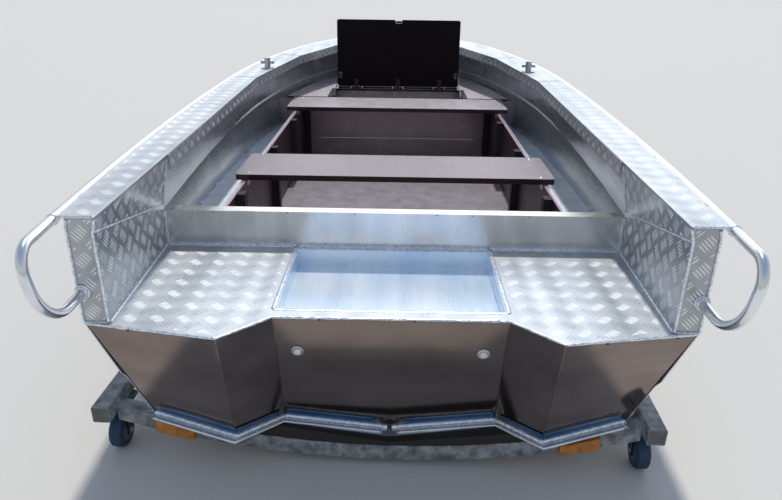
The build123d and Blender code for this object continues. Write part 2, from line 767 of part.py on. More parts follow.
# Bow bulkhead: across the hull under the deck's edge, with a slit left beside each side sheet
bulkhead_slit = 8.0
with BuildPart() as bow_bulkhead:
    with BuildSketch(across(bow_bulkhead_y)):
        section = hull_section(bow_bulkhead_y, 0.8)
        half = section[:2] + [(x - bulkhead_slit, z) for x, z in section[2:4]]
        top = seat_top - deck_sheet - fit
        half += [(side_x(bow_bulkhead_y, top) - bulkhead_slit - 1.0, top)]
        outline(*mirror_points(half)[1:])
    extrude(amount=-skin)
save(bow_bulkhead.part, "bow_bulkhead")

# Bow deck: plywood panels beside the hatch, and the panel ahead of it
deck_fore_ys = (3212.0, 3420.0)
deck_outer = ((651.0, bow_bulkhead_y), (585.0, 2863.0),
              *[(side_x(y, seat_top - deck_sheet) - 5.0, y) for y in deck_fore_ys])
with BuildPart() as bow_deck:
    with BuildSketch(level(seat_top)):
        outline(*mirror_points([(hatch_half, bow_bulkhead_y), deck_outer[0], deck_outer[1], deck_outer[2],
                                deck_outer[3], (0.0, deck_outer[3][1] + 40.0)])[:6],
                *[(-x, y) for x, y in [deck_outer[3], deck_outer[2], deck_outer[1], deck_outer[0],
                                       (hatch_half, bow_bulkhead_y), (hatch_half, hatch_front)]],
                (hatch_half, hatch_front))
    extrude(amount=-deck_sheet)
save(bow_deck.part, "bow_deck")

# Angles along the hatch's sides
with BuildPart() as hatch_angles:
    with BuildSketch(across(bow_bulkhead_y + skin + fit)):
        x0 = hatch_half - fit
        z0 = seat_top + fit
        outline((x0, z0 - angle_leg), (x0, z0), (x0 + angle_leg, z0), (x0 + angle_leg, z0 + angle_sheet),
                (x0 - angle_sheet, z0 + angle_sheet), (x0 - angle_sheet, z0 - angle_leg))
    extrude(amount=-(hatch_front - bow_bulkhead_y - 2 * skin))
    mirror(about=Plane.YZ)
save(hatch_angles.part, "hatch_angles")

# Beam under the deck ahead of the hatch, down to the bottom plate
beam_y = hatch_front + 20.0
with BuildPart() as deck_beam:
    with BuildSketch(across(beam_y)):
        half = hull_section(beam_y, 1.2)[:4]
        top = seat_top - deck_sheet - fit
        half += [(side_x(beam_y, top) - 1.4, top)]
        outline(*mirror_points(half)[1:])
    extrude(amount=-skin)
save(deck_beam.part, "deck_beam")

# Lid: it stands open, leaning a little toward the bow
hinge_y = hatch_front + 5.0
hinge_z = seat_top + 9.0
hinge_gap = 1.0  # the lid's underside beside the hinge's axis
lean = radians(lid_lean)
lid_plane = Plane(
    origin=(0, hinge_y + stern_y, hinge_z),
    x_dir=(1, 0, 0),
    z_dir=(0, -cos(lean), sin(lean)),
)  # local y runs up the lid, and local z faces aft, out of the side that is seen
with BuildPart() as lid:
    with BuildSketch(lid_plane.offset(-hinge_gap)):
        with Locations((0.0, 6.0 + lid_length / 2)):
            RectangleRounded(2 * lid_half, lid_length, 12.0)
        with Locations((0.0, 6.0 + lid_length)):
            Rectangle(44.0, 14.0, mode=Mode.SUBTRACT)
    extrude(amount=-lid_sheet)
save(lid.part, "lid")

# Hinges: leaves with a pin on the deck, and straps with an eye on the lid
hinge_xs = (-260.0, 0.0, 260.0)
pin_radius = 3.0
with BuildPart() as hinge_leaves:
    for x in hinge_xs:
        with BuildSketch(level(seat_top + fit)):
            with Locations((x, hinge_y + 18.0)):
                Rectangle(66.0, 44.0)
        extrude(amount=2.0)
        with BuildSketch(along(x - 33.0)):
            with Locations((hinge_y, hinge_z)):
                Circle(pin_radius)
        extrude(amount=66.0)
        for near in (x - 33.0, x + 15.0):
            with BuildSketch(along(near)):
                with Locations((hinge_y, hinge_z)):
                    Circle(5.5)
                outline((hinge_y - 3.5, seat_top + 2.0), (hinge_y + 3.5, seat_top + 2.0),
                        (hinge_y + 3.5, hinge_z), (hinge_y - 3.5, hinge_z))
            extrude(amount=18.0)
save(hinge_leaves.part, "hinge_leaves")
with BuildPart() as hinge_straps:
    for x in hinge_xs:
        with BuildSketch(Plane(origin=(x - 13.0, hinge_y + stern_y, hinge_z), x_dir=(0, sin(lean), cos(lean)),
                               z_dir=(1, 0, 0))):
            Circle(5.5)
            with Locations((26.0, 1.0)):
                Rectangle(52.0, 1.4)
            Circle(pin_radius + 0.05, mode=Mode.SUBTRACT)
        extrude(amount=26.0)
save(hinge_straps.part, "hinge_straps")

# Stays: two flat arms a side, from the hatch's angle to the lid, almost straight when it is open
stay_y, stay_z = 2600.0, seat_top - 12.0
stay_up, stay_out = 75.0, 8.0  # the lid's pivot, up the lid and out from the hinge's plane
lid_pivot_y = hinge_y + stay_up * sin(lean) - stay_out * cos(lean)
lid_pivot_z = hinge_z + stay_up * cos(lean) + stay_out * sin(lean)
stay_span = hypot(lid_pivot_y - stay_y, lid_pivot_z - stay_z)
arm = stay_span / 2 + 0.4
open_line = degrees(acos((lid_pivot_y - stay_y) / stay_span))
open_bend = degrees(acos(stay_span / 2 / arm))
arm_sheet = 3.0
arm_half = 6.5
stay_pin = 3.5
lower_x = hatch_half - 9.0
upper_x = lower_x - arm_sheet - 2.5


def arm_plane(x, y, z, angle):
    """Plane beside the boat at x whose local x runs along an arm."""
    tilt = radians(angle)
    return Plane(origin=(x, y + stern_y, z), x_dir=(0, cos(tilt), sin(tilt)), z_dir=(1, 0, 0))


with BuildPart() as stay_arms_lower:
    with BuildSketch(arm_plane(lower_x, stay_y, stay_z, open_line - open_bend)):
        with Locations((arm / 2, 0.0)):
            SlotCenterToCenter(arm, 2 * arm_half)
        Circle(stay_pin + 0.05, mode=Mode.SUBTRACT)
    extrude(amount=arm_sheet)
    mirror(about=Plane.YZ)
save(stay_arms_lower.part, "stay_arms_lower")
with BuildPart() as stay_arms_upper:
    with BuildSketch(arm_plane(upper_x, lid_pivot_y, lid_pivot_z, 180.0 + open_line + open_bend)):
        with Locations((arm / 2, 0.0)):
            SlotCenterToCenter(arm, 2 * arm_half)
        Circle(stay_pin + 0.05, mode=Mode.SUBTRACT)
    extrude(amount=arm_sheet)
    mirror(about=Plane.YZ)
save(stay_arms_upper.part, "stay_arms_upper")
with BuildPart() as stay_feet:
    leg_face = hatch_half - fit - angle_sheet
    with BuildSketch(along(leg_face - fit)):
        with Locations((stay_y, stay_z)):
            Rectangle(34.0, 20.0)
    extrude(amount=-1.6)
    with BuildSketch(along(leg_face - fit)):
        with Locations((stay_y, stay_z)):
            Circle(stay_pin)
    extrude(amount=-(leg_face - fit - lower_x + 1.0))
    mirror(about=Plane.YZ)
save(stay_feet.part, "stay_feet")
with BuildPart() as lid_brackets:
    with BuildSketch(lid_plane.offset(-hinge_gap + fit)):
        with Locations((upper_x - 12.0, stay_up)):
            Rectangle(26.0, 34.0)
    extrude(amount=1.6)
    with BuildSketch(arm_plane(upper_x - 6.0, lid_pivot_y, lid_pivot_z, 90.0 - lid_lean)):
        with Locations((0.0, -2.0)):
            Rectangle(16.0, 9.0)
        Circle(6.0)
    extrude(amount=3.0)
    with BuildSketch(arm_plane(upper_x - 6.0, lid_pivot_y, lid_pivot_z, 90.0 - lid_lean)):
        Circle(stay_pin)
    extrude(amount=6.0 + arm_sheet + 1.0)
    mirror(about=Plane.YZ)
save(lid_brackets.part, "lid_brackets")

shut_y, shut_z = hinge_y - stay_up, hinge_z - stay_out
shut_span = hypot(shut_y - stay_y, shut_z - stay_z)
shut_line = degrees(asin((shut_z - stay_z) / shut_span))
shut_bend = degrees(acos(shut_span / 2 / arm))
lid_travel = 90.0 + lid_lean
print("lower arm ratio", ((shut_line - shut_bend) - (open_line - open_bend)) / lid_travel)
print("upper arm ratio", ((shut_line + shut_bend) - (open_line + open_bend)) / lid_travel - 1.0)
print("stay foot", stay_y + stern_y, stay_z, "lid pivot", lid_pivot_y + stern_y, lid_pivot_z)

# Tubes of the cradle
with BuildPart() as cradle_tubes:
    with BuildSketch(cradle_across(cradle_aft)):
        with Locations((cradle_x, cradle_top - cradle_tube / 2)):
            RectangleRounded(cradle_tube, cradle_tube, 5.0)
            RectangleRounded(cradle_tube - 6.0, cradle_tube - 6.0, 3.0, mode=Mode.SUBTRACT)
    extrude(amount=-(cradle_fore - cradle_aft))
    mirror(about=cradle_along(0.0))
save(cradle_tubes.part, "cradle_tubes")

bearer_half = cradle_x - cradle_tube / 2 - fit
bearer_radius = (bearer_half**2 + (bearer_end_z - bearer_centre_z) ** 2) / (2 * (bearer_end_z - bearer_centre_z))


def bearer_top(x):
    return bearer_centre_z + bearer_radius - sqrt(bearer_radius**2 - x * x)


with BuildPart() as cradle_bearers:
    for y in bearer_ys:
        with BuildSketch(cradle_across(y)):
            with BuildLine():
                ThreePointArc((-bearer_half, bearer_end_z), (0.0, bearer_centre_z), (bearer_half, bearer_end_z))
                Line((bearer_half, bearer_end_z), (bearer_half, bearer_end_z - bearer_height))
                ThreePointArc((bearer_half, bearer_end_z - bearer_height), (0.0, bearer_centre_z - bearer_height),
                              (-bearer_half, bearer_end_z - bearer_height))
                Line((-bearer_half, bearer_end_z - bearer_height), (-bearer_half, bearer_end_z))
            make_face()
        extrude(amount=-bearer_width)
save(cradle_bearers.part, "cradle_bearers")

# Rubber between each bearer and the bottom of the hull
with BuildPart() as bearer_rubbers:
    rubber_half = 580.0
    for y in bearer_ys:
        edge_z = bearer_top(rubber_half) + fit
        with BuildSketch(cradle_across(y + 2.0)):
            with BuildLine():
                ThreePointArc((-rubber_half, edge_z), (0.0, bearer_centre_z + fit), (rubber_half, edge_z))
                Polyline((rubber_half, edge_z), (rubber_half, edge_z + 80.0), (-rubber_half, edge_z + 80.0),
                         (-rubber_half, edge_z))
            make_face()
        extrude(amount=-(bearer_width - 4.0))
    for y in bearer_ys:
        for station in (y - 60.0, y + bearer_width + 60.0):
            chine_x, chine_z, keel_z = hull_line(station)
            with BuildSketch(across(station)):
                outline((chine_x, 600.0), (chine_x, chine_z - fit), (0.0, keel_z - fit), (-chine_x, chine_z - fit),
                        (-chine_x, 600.0))
        loft(ruled=True, mode=Mode.SUBTRACT)
save(bearer_rubbers.part, "bearer_rubbers")

# Orange blocks on the stern face of the aft bearer
with BuildPart() as stop_blocks:
    with BuildSketch(cradle_across(bearer_ys[0] - fit)):
        outline((506.0, 108.0), (611.0, 140.0), (613.0, 102.0), (508.0, 76.0))
    extrude(amount=20.0)
    mirror(about=cradle_along(0.0))
save(stop_blocks.part, "stop_blocks")

# Casters: plates under the tubes, swivelling forks and wheels on axles
corners = {
    "aft_right": (cradle_x, caster_ys[0]),
    "aft_left": (-cradle_x, caster_ys[0]),
    "fore_right": (cradle_x, caster_ys[1]),
    "fore_left": (-cradle_x, caster_ys[1]),
}
plate_top = cradle_top - cradle_tube - fit
plate_sheet = 5.0
with BuildPart() as caster_plates:
    for x, y in corners.values():
        with BuildSketch(cradle_level(plate_top)):
            with Locations((x, y)):
                RectangleRounded(80.0, 72.0, 8.0)
        extrude(amount=-plate_sheet)
        with BuildSketch(cradle_level(plate_top - plate_sheet)):
            with Locations((x, y)):
                Circle(24.0)
        extrude(amount=-9.0)
save(caster_plates.part, "caster_plates")
crown_top = plate_top - plate_sheet - 9.0 - 0.5
crown_sheet = 4.0
leg_x = wheel_width / 2 + 3.0
for name, (x, y) in corners.items():
    axle_y = y - caster_trail
    with BuildPart() as fork:
        with BuildSketch(cradle_level(crown_top)):
            with Locations((x, y - 4.0)):
                RectangleRounded(2 * leg_x + 2 * crown_sheet, 56.0, 6.0)
        extrude(amount=-crown_sheet)
        with BuildSketch(cradle_along(x + leg_x)):
            outline((y - 30.0, crown_top), (y + 22.0, crown_top), (axle_y + 12.0, wheel_radius - 10.0),
                    (axle_y - 12.0, wheel_radius - 10.0))
        extrude(amount=crown_sheet)
        with BuildSketch(cradle_along(x - leg_x - crown_sheet)):
            outline((y - 30.0, crown_top), (y + 22.0, crown_top), (axle_y + 12.0, wheel_radius - 10.0),
                    (axle_y - 12.0, wheel_radius - 10.0))
        extrude(amount=crown_sheet)
        with BuildSketch(cradle_along(x - leg_x - crown_sheet - 3.0)):
            with Locations((axle_y, wheel_radius)):
                Circle(axle_radius)
        extrude(amount=2 * (leg_x + crown_sheet + 3.0))
    save(fork.part, f"fork_{name}")
    with BuildPart() as wheel:
        with BuildSketch(cradle_along(x - wheel_width / 2)):
            with Locations((axle_y, wheel_radius)):
                Circle(wheel_radius)
                Circle(axle_radius + 0.05, mode=Mode.SUBTRACT)
        extrude(amount=wheel_width)
        fillet(wheel.edges().filter_by(GeomType.CIRCLE).sort_by(SortBy.RADIUS)[-2:], 8.0)
    save(wheel.part, f"wheel_{name}")

print("eye", eye_y + stern_y, eye_z)
print("stern_y", stern_y, "bow_tip_y", round(bow_tip_y, 2), "drain", round(drain_y, 1), drain_z)
print("hinge", hinge_y + stern_y, hinge_z)
print("casters", {name: cradle_point(x, y) for name, (x, y) in corners.items()})
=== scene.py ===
# %% [markdown]
# # An aluminium fishing boat on its cradle
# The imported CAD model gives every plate, tube and wheel at its real size. This script dresses it:
# rolled aluminium, raised treadplate, weld beads, film-faced plywood and rubber.
# Sizes here are in millimetres from the stern end of the gunwales, as a boat builder would
# measure them, and one function turns them into Blender's metres.

# %% Load the frame
from math import cos, hypot, pi, radians, sin, sqrt

import bpy
from mathutils import Matrix, Vector, noise


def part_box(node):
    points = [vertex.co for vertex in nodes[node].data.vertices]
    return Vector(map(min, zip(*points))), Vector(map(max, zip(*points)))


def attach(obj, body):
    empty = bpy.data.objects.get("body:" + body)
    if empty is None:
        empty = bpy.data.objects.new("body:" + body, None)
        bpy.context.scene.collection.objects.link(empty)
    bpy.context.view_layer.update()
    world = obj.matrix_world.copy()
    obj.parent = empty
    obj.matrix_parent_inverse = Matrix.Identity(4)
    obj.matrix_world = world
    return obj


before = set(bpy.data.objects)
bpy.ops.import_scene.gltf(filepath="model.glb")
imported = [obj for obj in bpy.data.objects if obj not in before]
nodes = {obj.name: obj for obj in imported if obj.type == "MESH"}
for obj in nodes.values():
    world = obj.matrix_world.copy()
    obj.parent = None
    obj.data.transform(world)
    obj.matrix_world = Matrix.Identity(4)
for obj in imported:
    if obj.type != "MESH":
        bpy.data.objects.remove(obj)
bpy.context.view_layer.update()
stern_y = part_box("stern_end_plates")[0][1] * 1000
gunwale_height, sheer = 770.0, radians(1.13)
cradle_shift, cradle_yaw = -41.0, radians(-1.9)


def place(x, y, z):
    """A point of the boat in millimetres, as metres in the frame."""
    return Vector((x, y + stern_y, z)) / 1000


def on_sheer(x, y, lift):
    """A point on top of the gunwale, which climbs to the bow."""
    climb = gunwale_height + y * sin(sheer) + lift * cos(sheer)
    return place(x, y * cos(sheer) - lift * sin(sheer), climb)


def on_cradle(x, y, z):
    """The cradle stands a little to port, turned under the boat."""
    turned_x = cradle_shift + x * cos(cradle_yaw) - y * sin(cradle_yaw)
    return place(turned_x, y * cos(cradle_yaw) + x * sin(cradle_yaw), z)


# %% [markdown]
# ## Materials
# Every finish starts as a Principled shader whose colour is a hex value, as a paint chart
# gives it. Blender computes in linear light, so one function converts. A second function adds
# a node, sets it and links it. Patterns use object coordinates, which are metres here, so a
# scale of 1000 / size gives a pattern of that size in millimetres.


# %% Colour and node helpers
def linear(code):
    """An sRGB hex value as linear red, green, blue and an alpha of 1."""
    values = [int(code[i : i + 2], 16) / 255 for i in (1, 3, 5)]
    return (*[v / 12.92 if v <= 0.04045 else ((v + 0.055) / 1.055) ** 2.4 for v in values], 1.0)


def put(tree, kind, inputs=(), **settings):
    """Adds one node. Each input, by name or number, gets a value or the socket to link."""
    added = tree.nodes.new("ShaderNode" + kind)
    for name, value in settings.items():
        setattr(added, name, value)
    for socket, value in dict(inputs).items():
        if isinstance(value, bpy.types.NodeSocket):
            tree.links.new(value, added.inputs[socket])
        else:
            added.inputs[socket].default_value = value
    return added


def finish(name, **shader):
    """A new material with one Principled shader, and the object's coordinates in metres."""
    made = bpy.data.materials.new(name)
    made.use_nodes = True
    tree = made.node_tree
    principled = tree.nodes["Principled BSDF"]
    for key, value in shader.items():
        principled.inputs[key.replace("_", " ")].default_value = value
    return made, tree, principled, put(tree, "TexCoord").outputs["Object"]


def feed(tree, shader, **sources):
    """Links several outputs to a shader's sockets."""
    for key, source in sources.items():
        tree.links.new(source, shader.inputs[key.replace("_", " ")])


def size(millimetres):
    """The scale of a pattern whose grain is that long."""
    return 1000.0 / millimetres


print("mid grey #808080 is", round(linear("#808080")[0], 3), "in linear light")


# %% [markdown]
# Noise mostly stays between 0.3 and 0.7, and two noises added between 0.75 and 1.25. A Map
# Range node stretches those middles to the range that a colour or a roughness needs.

# %% The useful middle of noise
one_noise = {"From Min": 0.3, "From Max": 0.7}
tight_noise = {"From Min": 0.35, "From Max": 0.65}
two_noises = {"From Min": 0.75, "From Max": 1.25}
print("middle of two noises", two_noises)

# %% [markdown]
# ### Aluminium
# The hull is 5000-series sheet as it left the rolling mill. Rolling leaves fine lines along the
# sheet, so the gloss is uneven in long streaks, and handling leaves cloudy patches and shallow
# dents. One noise is stretched along the sheet for the lines. The real lines are about 0.1 mm
# wide, and are drawn here at about 2 mm, so that they show at all. Outdoor sheet has a thin grey
# oxide that scatters light, so a share of the shader is left non-metal.


# %% Sheet aluminium
def aluminium(name, dark, light, gloss, run=1, metal=0.85, dent=0.0, line=0.05, cloud_mm=170):
    """run is the axis that the rolling lines follow: 0 across, 1 along the boat, 2 up."""
    made, tree, principled, where = finish(name, Metallic=metal)
    stretch = [1.0, 1.0, 1.0]
    stretch[run] = 0.03
    drawn = put(tree, "Mapping", {"Vector": where, "Scale": stretch}).outputs[0]
    line_mm, band_mm, dent_mm = 2.2, 70, 380
    lines, bands, cloud, dents = [
        put(tree, "TexNoise", {"Vector": at, "Scale": size(grain), "Detail": detail}).outputs[0]
        for at, grain, detail in (
            (drawn, line_mm, 3.0), (drawn, band_mm, 2.0),
            (where, cloud_mm, 3.0), (where, dent_mm, 1.0))
    ]
    patchy = put(tree, "Math", {0: cloud, 1: bands}, operation="ADD").outputs[0]
    streaky = put(tree, "Math", {0: lines, 1: bands}, operation="ADD").outputs[0]
    share = put(tree, "MapRange", {"Value": patchy, **two_noises})
    colour = put(tree, "Mix", {0: share.outputs[0], 6: linear(dark), 7: linear(light)},
                 data_type="RGBA")
    rough = put(tree, "MapRange",
                {"Value": streaky, **two_noises, "To Min": gloss[0], "To Max": gloss[1]})
    fine = put(tree, "Bump", {"Height": lines, "Strength": line, "Distance": 0.0006})
    wave = put(tree, "Bump", {"Height": dents, "Normal": fine.outputs[0],
                                        "Strength": dent, "Distance": 0.012})
    feed(tree, principled, Base_Color=colour.outputs[2], Roughness=rough.outputs[0],
         Normal=wave.outputs[0])
    return made


hull_sheet = aluminium("rolled_aluminium_hull", "#c3c7cd", "#d6dade", (0.16, 0.3),
                       metal=0.7, dent=0.5)
# The transom's dark brown-grey is painted shade, warmed by a painted reflection of brown ground.
transom_painted_shade = aluminium("rolled_aluminium_transom_painted_shade", "#7f736e", "#928681", (0.1, 0.18),
                          run=0, metal=0.97, dent=0.06, line=0.03)
bulkhead_sheet = aluminium("rolled_aluminium_bulkhead", "#dddad8", "#f7f4f2", (0.18, 0.28),
                           run=2, dent=0.12, line=0.02)
# The well's blue tint is a painted reflection of the sky.
well_painted_sky_blue = aluminium("rolled_aluminium_well_painted_sky_blue", "#d3e6fb", "#e9f4ff", (0.26, 0.32),
                       metal=0.66, dent=0.05, line=0.004)
# The shelves' blue-white is painted light: a painted sky reflection, and sunlight that their shade
# lacks.
shelf_painted_sky_and_light = aluminium("rolled_aluminium_shelf_painted_light", "#d8e2ee", "#fafcfe", (0.3, 0.5),
                        metal=0.2, dent=0.5, line=0.1, cloud_mm=60)
tread_sheet = aluminium("five_bar_treadplate", "#b0b7bf", "#c6ccd3", (0.4, 0.5),
                        metal=0.8, dent=0.06)
wall_sheet = aluminium("five_bar_treadplate_walls", "#a3a7ad", "#b6babf", (0.26, 0.34), dent=0.05)
print("sheet finishes", len(bpy.data.materials))

# %% [markdown]
# Pieces too small for dents use the same finish with none. The treadplate's bars are coloured apart
# from the sheet between them: much whiter on the walls, end plates and skirts, a painted highlight,
# and a little darker on the platforms, gunwales and bow plate, painted shade that tones down their
# glare. A pressed swage and a drawn tube are smoother than sheet, and the swage's crest is also
# whiter than its sheet: painted highlight. The ground strip above the transom's foot weld is
# coloured blue, a painted reflection of the open sky.

# %% Smaller aluminium pieces
# Bars on flat plates, a little darker than their plate: painted shade.
flat_bar_painted_shade = aluminium("raised_treadplate_bars_painted_shade", "#a4aab1", "#b9bfc5", (0.42, 0.52), metal=0.8)
# Bars on walls, end plates and skirts, whiter than their plate: painted highlight.
wall_bar_painted_highlight = aluminium("raised_treadplate_wall_bars_painted_highlight", "#e2e5e8", "#f4f5f6", (0.3, 0.36),
                           metal=0.8)
drawn_tube = aluminium("drawn_aluminium_tube", "#dfe5ec", "#f7f9fb", (0.12, 0.22), metal=0.95)
# The crest finish is whiter than the sheet it is pressed from: painted highlight.
crest_painted_highlight = aluminium("pressed_swage_crest_painted_highlight", "#f6fafe", "#ffffff", (0.08, 0.12), metal=0.6)
# The ground strip's blue is a painted reflection of the sky.
root_strip_painted_sky = aluminium("ground_aluminium_weld_root_painted_sky_blue", "#4d6b8e", "#6c88a9", (0.3, 0.4),
                       run=0, metal=1.0)
edge_metal = aluminium("sheared_aluminium_edge", "#ccd5e0", "#eef2f6", (0.24, 0.34))
fitting_metal = aluminium("cast_aluminium_fittings", "#b4b7bb", "#d0d3d6", (0.3, 0.42))
print("aluminium finishes", len(bpy.data.materials))

# %% [markdown]
# ### Weld beads
# A hand-laid bead of aluminium freezes in overlapping scales, about 3 mm apart, and stays
# whiter and duller than the sheet. The scales are in the mesh, and the shader adds the frosting
# and patches of dark soot.

# %% Weld metal
weld_metal, tree, principled, where = finish("aluminium_weld_bead", Metallic=0.8, Roughness=0.3)
frost = put(tree, "TexNoise",
            {"Vector": where, "Scale": size(8), "Detail": 2.0, "Roughness": 0.5}).outputs[0]
soot = put(tree, "MapRange", {"Value": frost, "From Min": 0.35, "From Max": 0.6})
sooted = put(tree, "Mix",
             {0: soot.outputs[0], 6: linear("#c3cfe0"), 7: linear("#f4f7fa")}, data_type="RGBA")
grit = put(tree, "Bump", {"Height": frost, "Strength": 0.3, "Distance": 0.001})
feed(tree, principled, Base_Color=sooted.outputs[2], Normal=grit.outputs[0])
print("weld metal nodes", len(tree.nodes))

# %% [markdown]
# ### Film-faced plywood
# The boards are birch plywood with a brown phenolic film. The film is smooth but not polished, and
# low over the boat it mirrors the bright sky. That grey sheen is painted into the film colours of
# the seats, the floor and the deck, lightest on the forward seat and the deck, where it also stands
# in for sunlight on the deck's shaded parts: painted reflection and painted light. The lockers keep
# the film's own maroon, and the lid's film is darker still, painted shade. Dust and foot traffic
# leave it mottled. Board edges are sealed with dark paint, and where they were cut afterwards the
# birch shows pink through the sealer. The shader tells a board's faces from its edges by the
# direction that they look.


# %% Boards
def plywood(name, darker_film_and_painted_light, paler_film_and_painted_light, edge="#2c0a16", axis=2, gloss=(0.3, 0.48), **shader):
    """axis is 0, 1 or 2 for the direction that the board's faces look."""
    made, tree, principled, where = finish("film_faced_plywood_" + name, **shader)
    mottle = put(tree, "TexNoise",
                 {"Vector": where, "Scale": size(60), "Detail": 8.0, "Roughness": 0.7}).outputs[0]
    pores = put(tree, "TexNoise",
                {"Vector": where, "Scale": size(5), "Detail": 3.0}).outputs[0]
    fleck = put(tree, "Math", {0: mottle, 1: pores}, operation="ADD").outputs[0]
    share = put(tree, "MapRange", {"Value": fleck, "From Min": 0.8, "From Max": 1.2})
    face = put(tree, "Mix",
               {0: share.outputs[0], 6: linear(darker_film_and_painted_light), 7: linear(paler_film_and_painted_light)}, data_type="RGBA")
    look = put(tree, "SeparateXYZ", {0: put(tree, "TexCoord").outputs["Normal"]})
    facing = put(tree, "Math", {0: look.outputs[axis]}, operation="ABSOLUTE")
    is_face = put(tree, "Math", {0: facing.outputs[0], 1: 0.7}, operation="GREATER_THAN")
    board = put(tree, "Mix",
                {0: is_face.outputs[0], 6: linear(edge), 7: face.outputs[2]}, data_type="RGBA")
    rough = put(tree, "MapRange",
                {"Value": mottle, **one_noise, "To Min": gloss[0], "To Max": gloss[1]})
    skin = put(tree, "Bump", {"Height": pores, "Strength": 0.15, "Distance": 0.0006})
    feed(tree, principled, Base_Color=board.outputs[2], Roughness=rough.outputs[0],
         Normal=skin.outputs[0])
    return made


# The grey of these films is a painted sky reflection, and the deck's extra lightness is painted
# light.
seat_film_painted_sheen = plywood("seat", "#867c82", "#a0969c")
floor_film_painted_sheen = plywood("floor", "#857d83", "#9b9299")
fore_seat_film_painted_sheen = plywood("fore_seat", "#aaa0a7", "#c4bac0")
locker_board = plywood("locker", "#2f1a24", "#45303a", "#b98f9f", 0)
deck_film_painted_sheen_and_light = plywood("deck", "#bcb1b9", "#d4cad0")
# The lid's near-black film is painted shade.
lid_film_painted_shade = plywood("lid", "#0d0609", "#140a0f", "#2a2527", 1, (0.5, 0.65),
                    Specular_IOR_Level=0.12)
print("finishes so far", len(bpy.data.materials))

# %% [markdown]
# ### Steel, rubber and plastic
# The cradle is mild steel in worn grey paint over rust. The casters have pressed, zinc-plated
# forks, coloured much darker than the zinc of their plates as painted shade under the boat, and
# blue rubber tyres, and the stop blocks are orange-brown polyurethane. All are mottled at the size
# of their wear, and metals are told apart by their metallic share.


# %% Other finishes
def mottled(name, dark, light, grain_mm, gloss, bump=0.15, metal=0.0):
    """A finish with patches between two colours, and a roughness and tooth that follow them."""
    made, tree, principled, where = finish(name, Metallic=metal)
    patch = put(tree, "TexNoise", {"Vector": where, "Scale": size(grain_mm),
                                             "Detail": 8.0, "Roughness": 0.6}).outputs[0]
    share = put(tree, "MapRange", {"Value": patch, **tight_noise})
    colour = put(tree, "Mix", {0: share.outputs[0], 6: linear(dark), 7: linear(light)},
                 data_type="RGBA")
    rough = put(tree, "MapRange",
                {"Value": patch, **one_noise, "To Min": gloss[0], "To Max": gloss[1]})
    tooth = put(tree, "Bump", {"Height": patch, "Strength": bump, "Distance": 0.001})
    feed(tree, principled, Base_Color=colour.outputs[2], Roughness=rough.outputs[0],
         Normal=tooth.outputs[0])
    return made


cradle_paint = mottled("worn_grey_paint_on_steel", "#565c66", "#9ea3a8", 30, (0.45, 0.7))
cut_steel = mottled("closing_plate_of_tube_end", "#4d4f52", "#6b6c6c", 20, (0.5, 0.7))
# The forks' dark grey is painted shade; the plates' zinc shows the plating's own pale grey.
fork_painted_shade = mottled("zinc_plated_pressed_steel_painted_shade", "#2a2f36", "#454b54", 12, (0.35, 0.5), metal=1.0)
hinge_zinc = mottled("zinc_plated_hinge_steel", "#8b8d90", "#b8babc", 10, (0.28, 0.42), metal=1.0)
arm_black = mottled("black_passivated_steel", "#3a3b3f", "#55575c", 10, (0.35, 0.5), metal=1.0)
tyre_blue = mottled("moulded_blue_rubber", "#15304a", "#214468", 14, (0.55, 0.75))
rim_grey = mottled("moulded_grey_nylon", "#3a4047", "#545b63", 14, (0.4, 0.55))
# Black rubber for the cradle's bearers, and painted shade in the gap under the hatch's lid.
black_rubber_and_painted_shade = mottled("black_rubber_strip_and_painted_shade", "#1d1a1c", "#2b2729", 14, (0.6, 0.8))
block_orange = mottled("cast_orange_polyurethane", "#9c5f28", "#c2843a", 25, (0.45, 0.6))
white_plastic = mottled("moulded_white_nylon", "#dcdcd8", "#f2f2ee", 8, (0.35, 0.5), bump=0.05)
bright_screw = mottled("stainless_screw_steel", "#c9ccd0", "#eceef0", 4, (0.2, 0.3), 0.05, 1.0)
# Near-black for the locker posts and the tack burns, and painted shade in the keel's drain hole.
near_black_and_painted_shade = mottled("near_black_paint_burns_and_painted_shade", "#150e13", "#21181e", 20, (0.6, 0.75))
# The hinges and their screws are near-black so that they vanish into the shade at the lid: painted
# shade.
hinge_painted_shade = mottled("near_black_hinge_painted_shade", "#120c0f", "#1c1418", 10, (0.5, 0.65))
# The bow bulkhead's brown-grey is a painted reflection of the plywood around it, on aluminium.
bow_bulkhead_painted_reflection = mottled("aluminium_painted_plywood_reflection", "#9b8c93", "#b3a2a9", 240, (0.2, 0.3), 0.02, 0.5)
print("finishes in all", len(bpy.data.materials))

# %% [markdown]
# The CAD pieces keep their shapes, and each one gets the finish of the real piece.

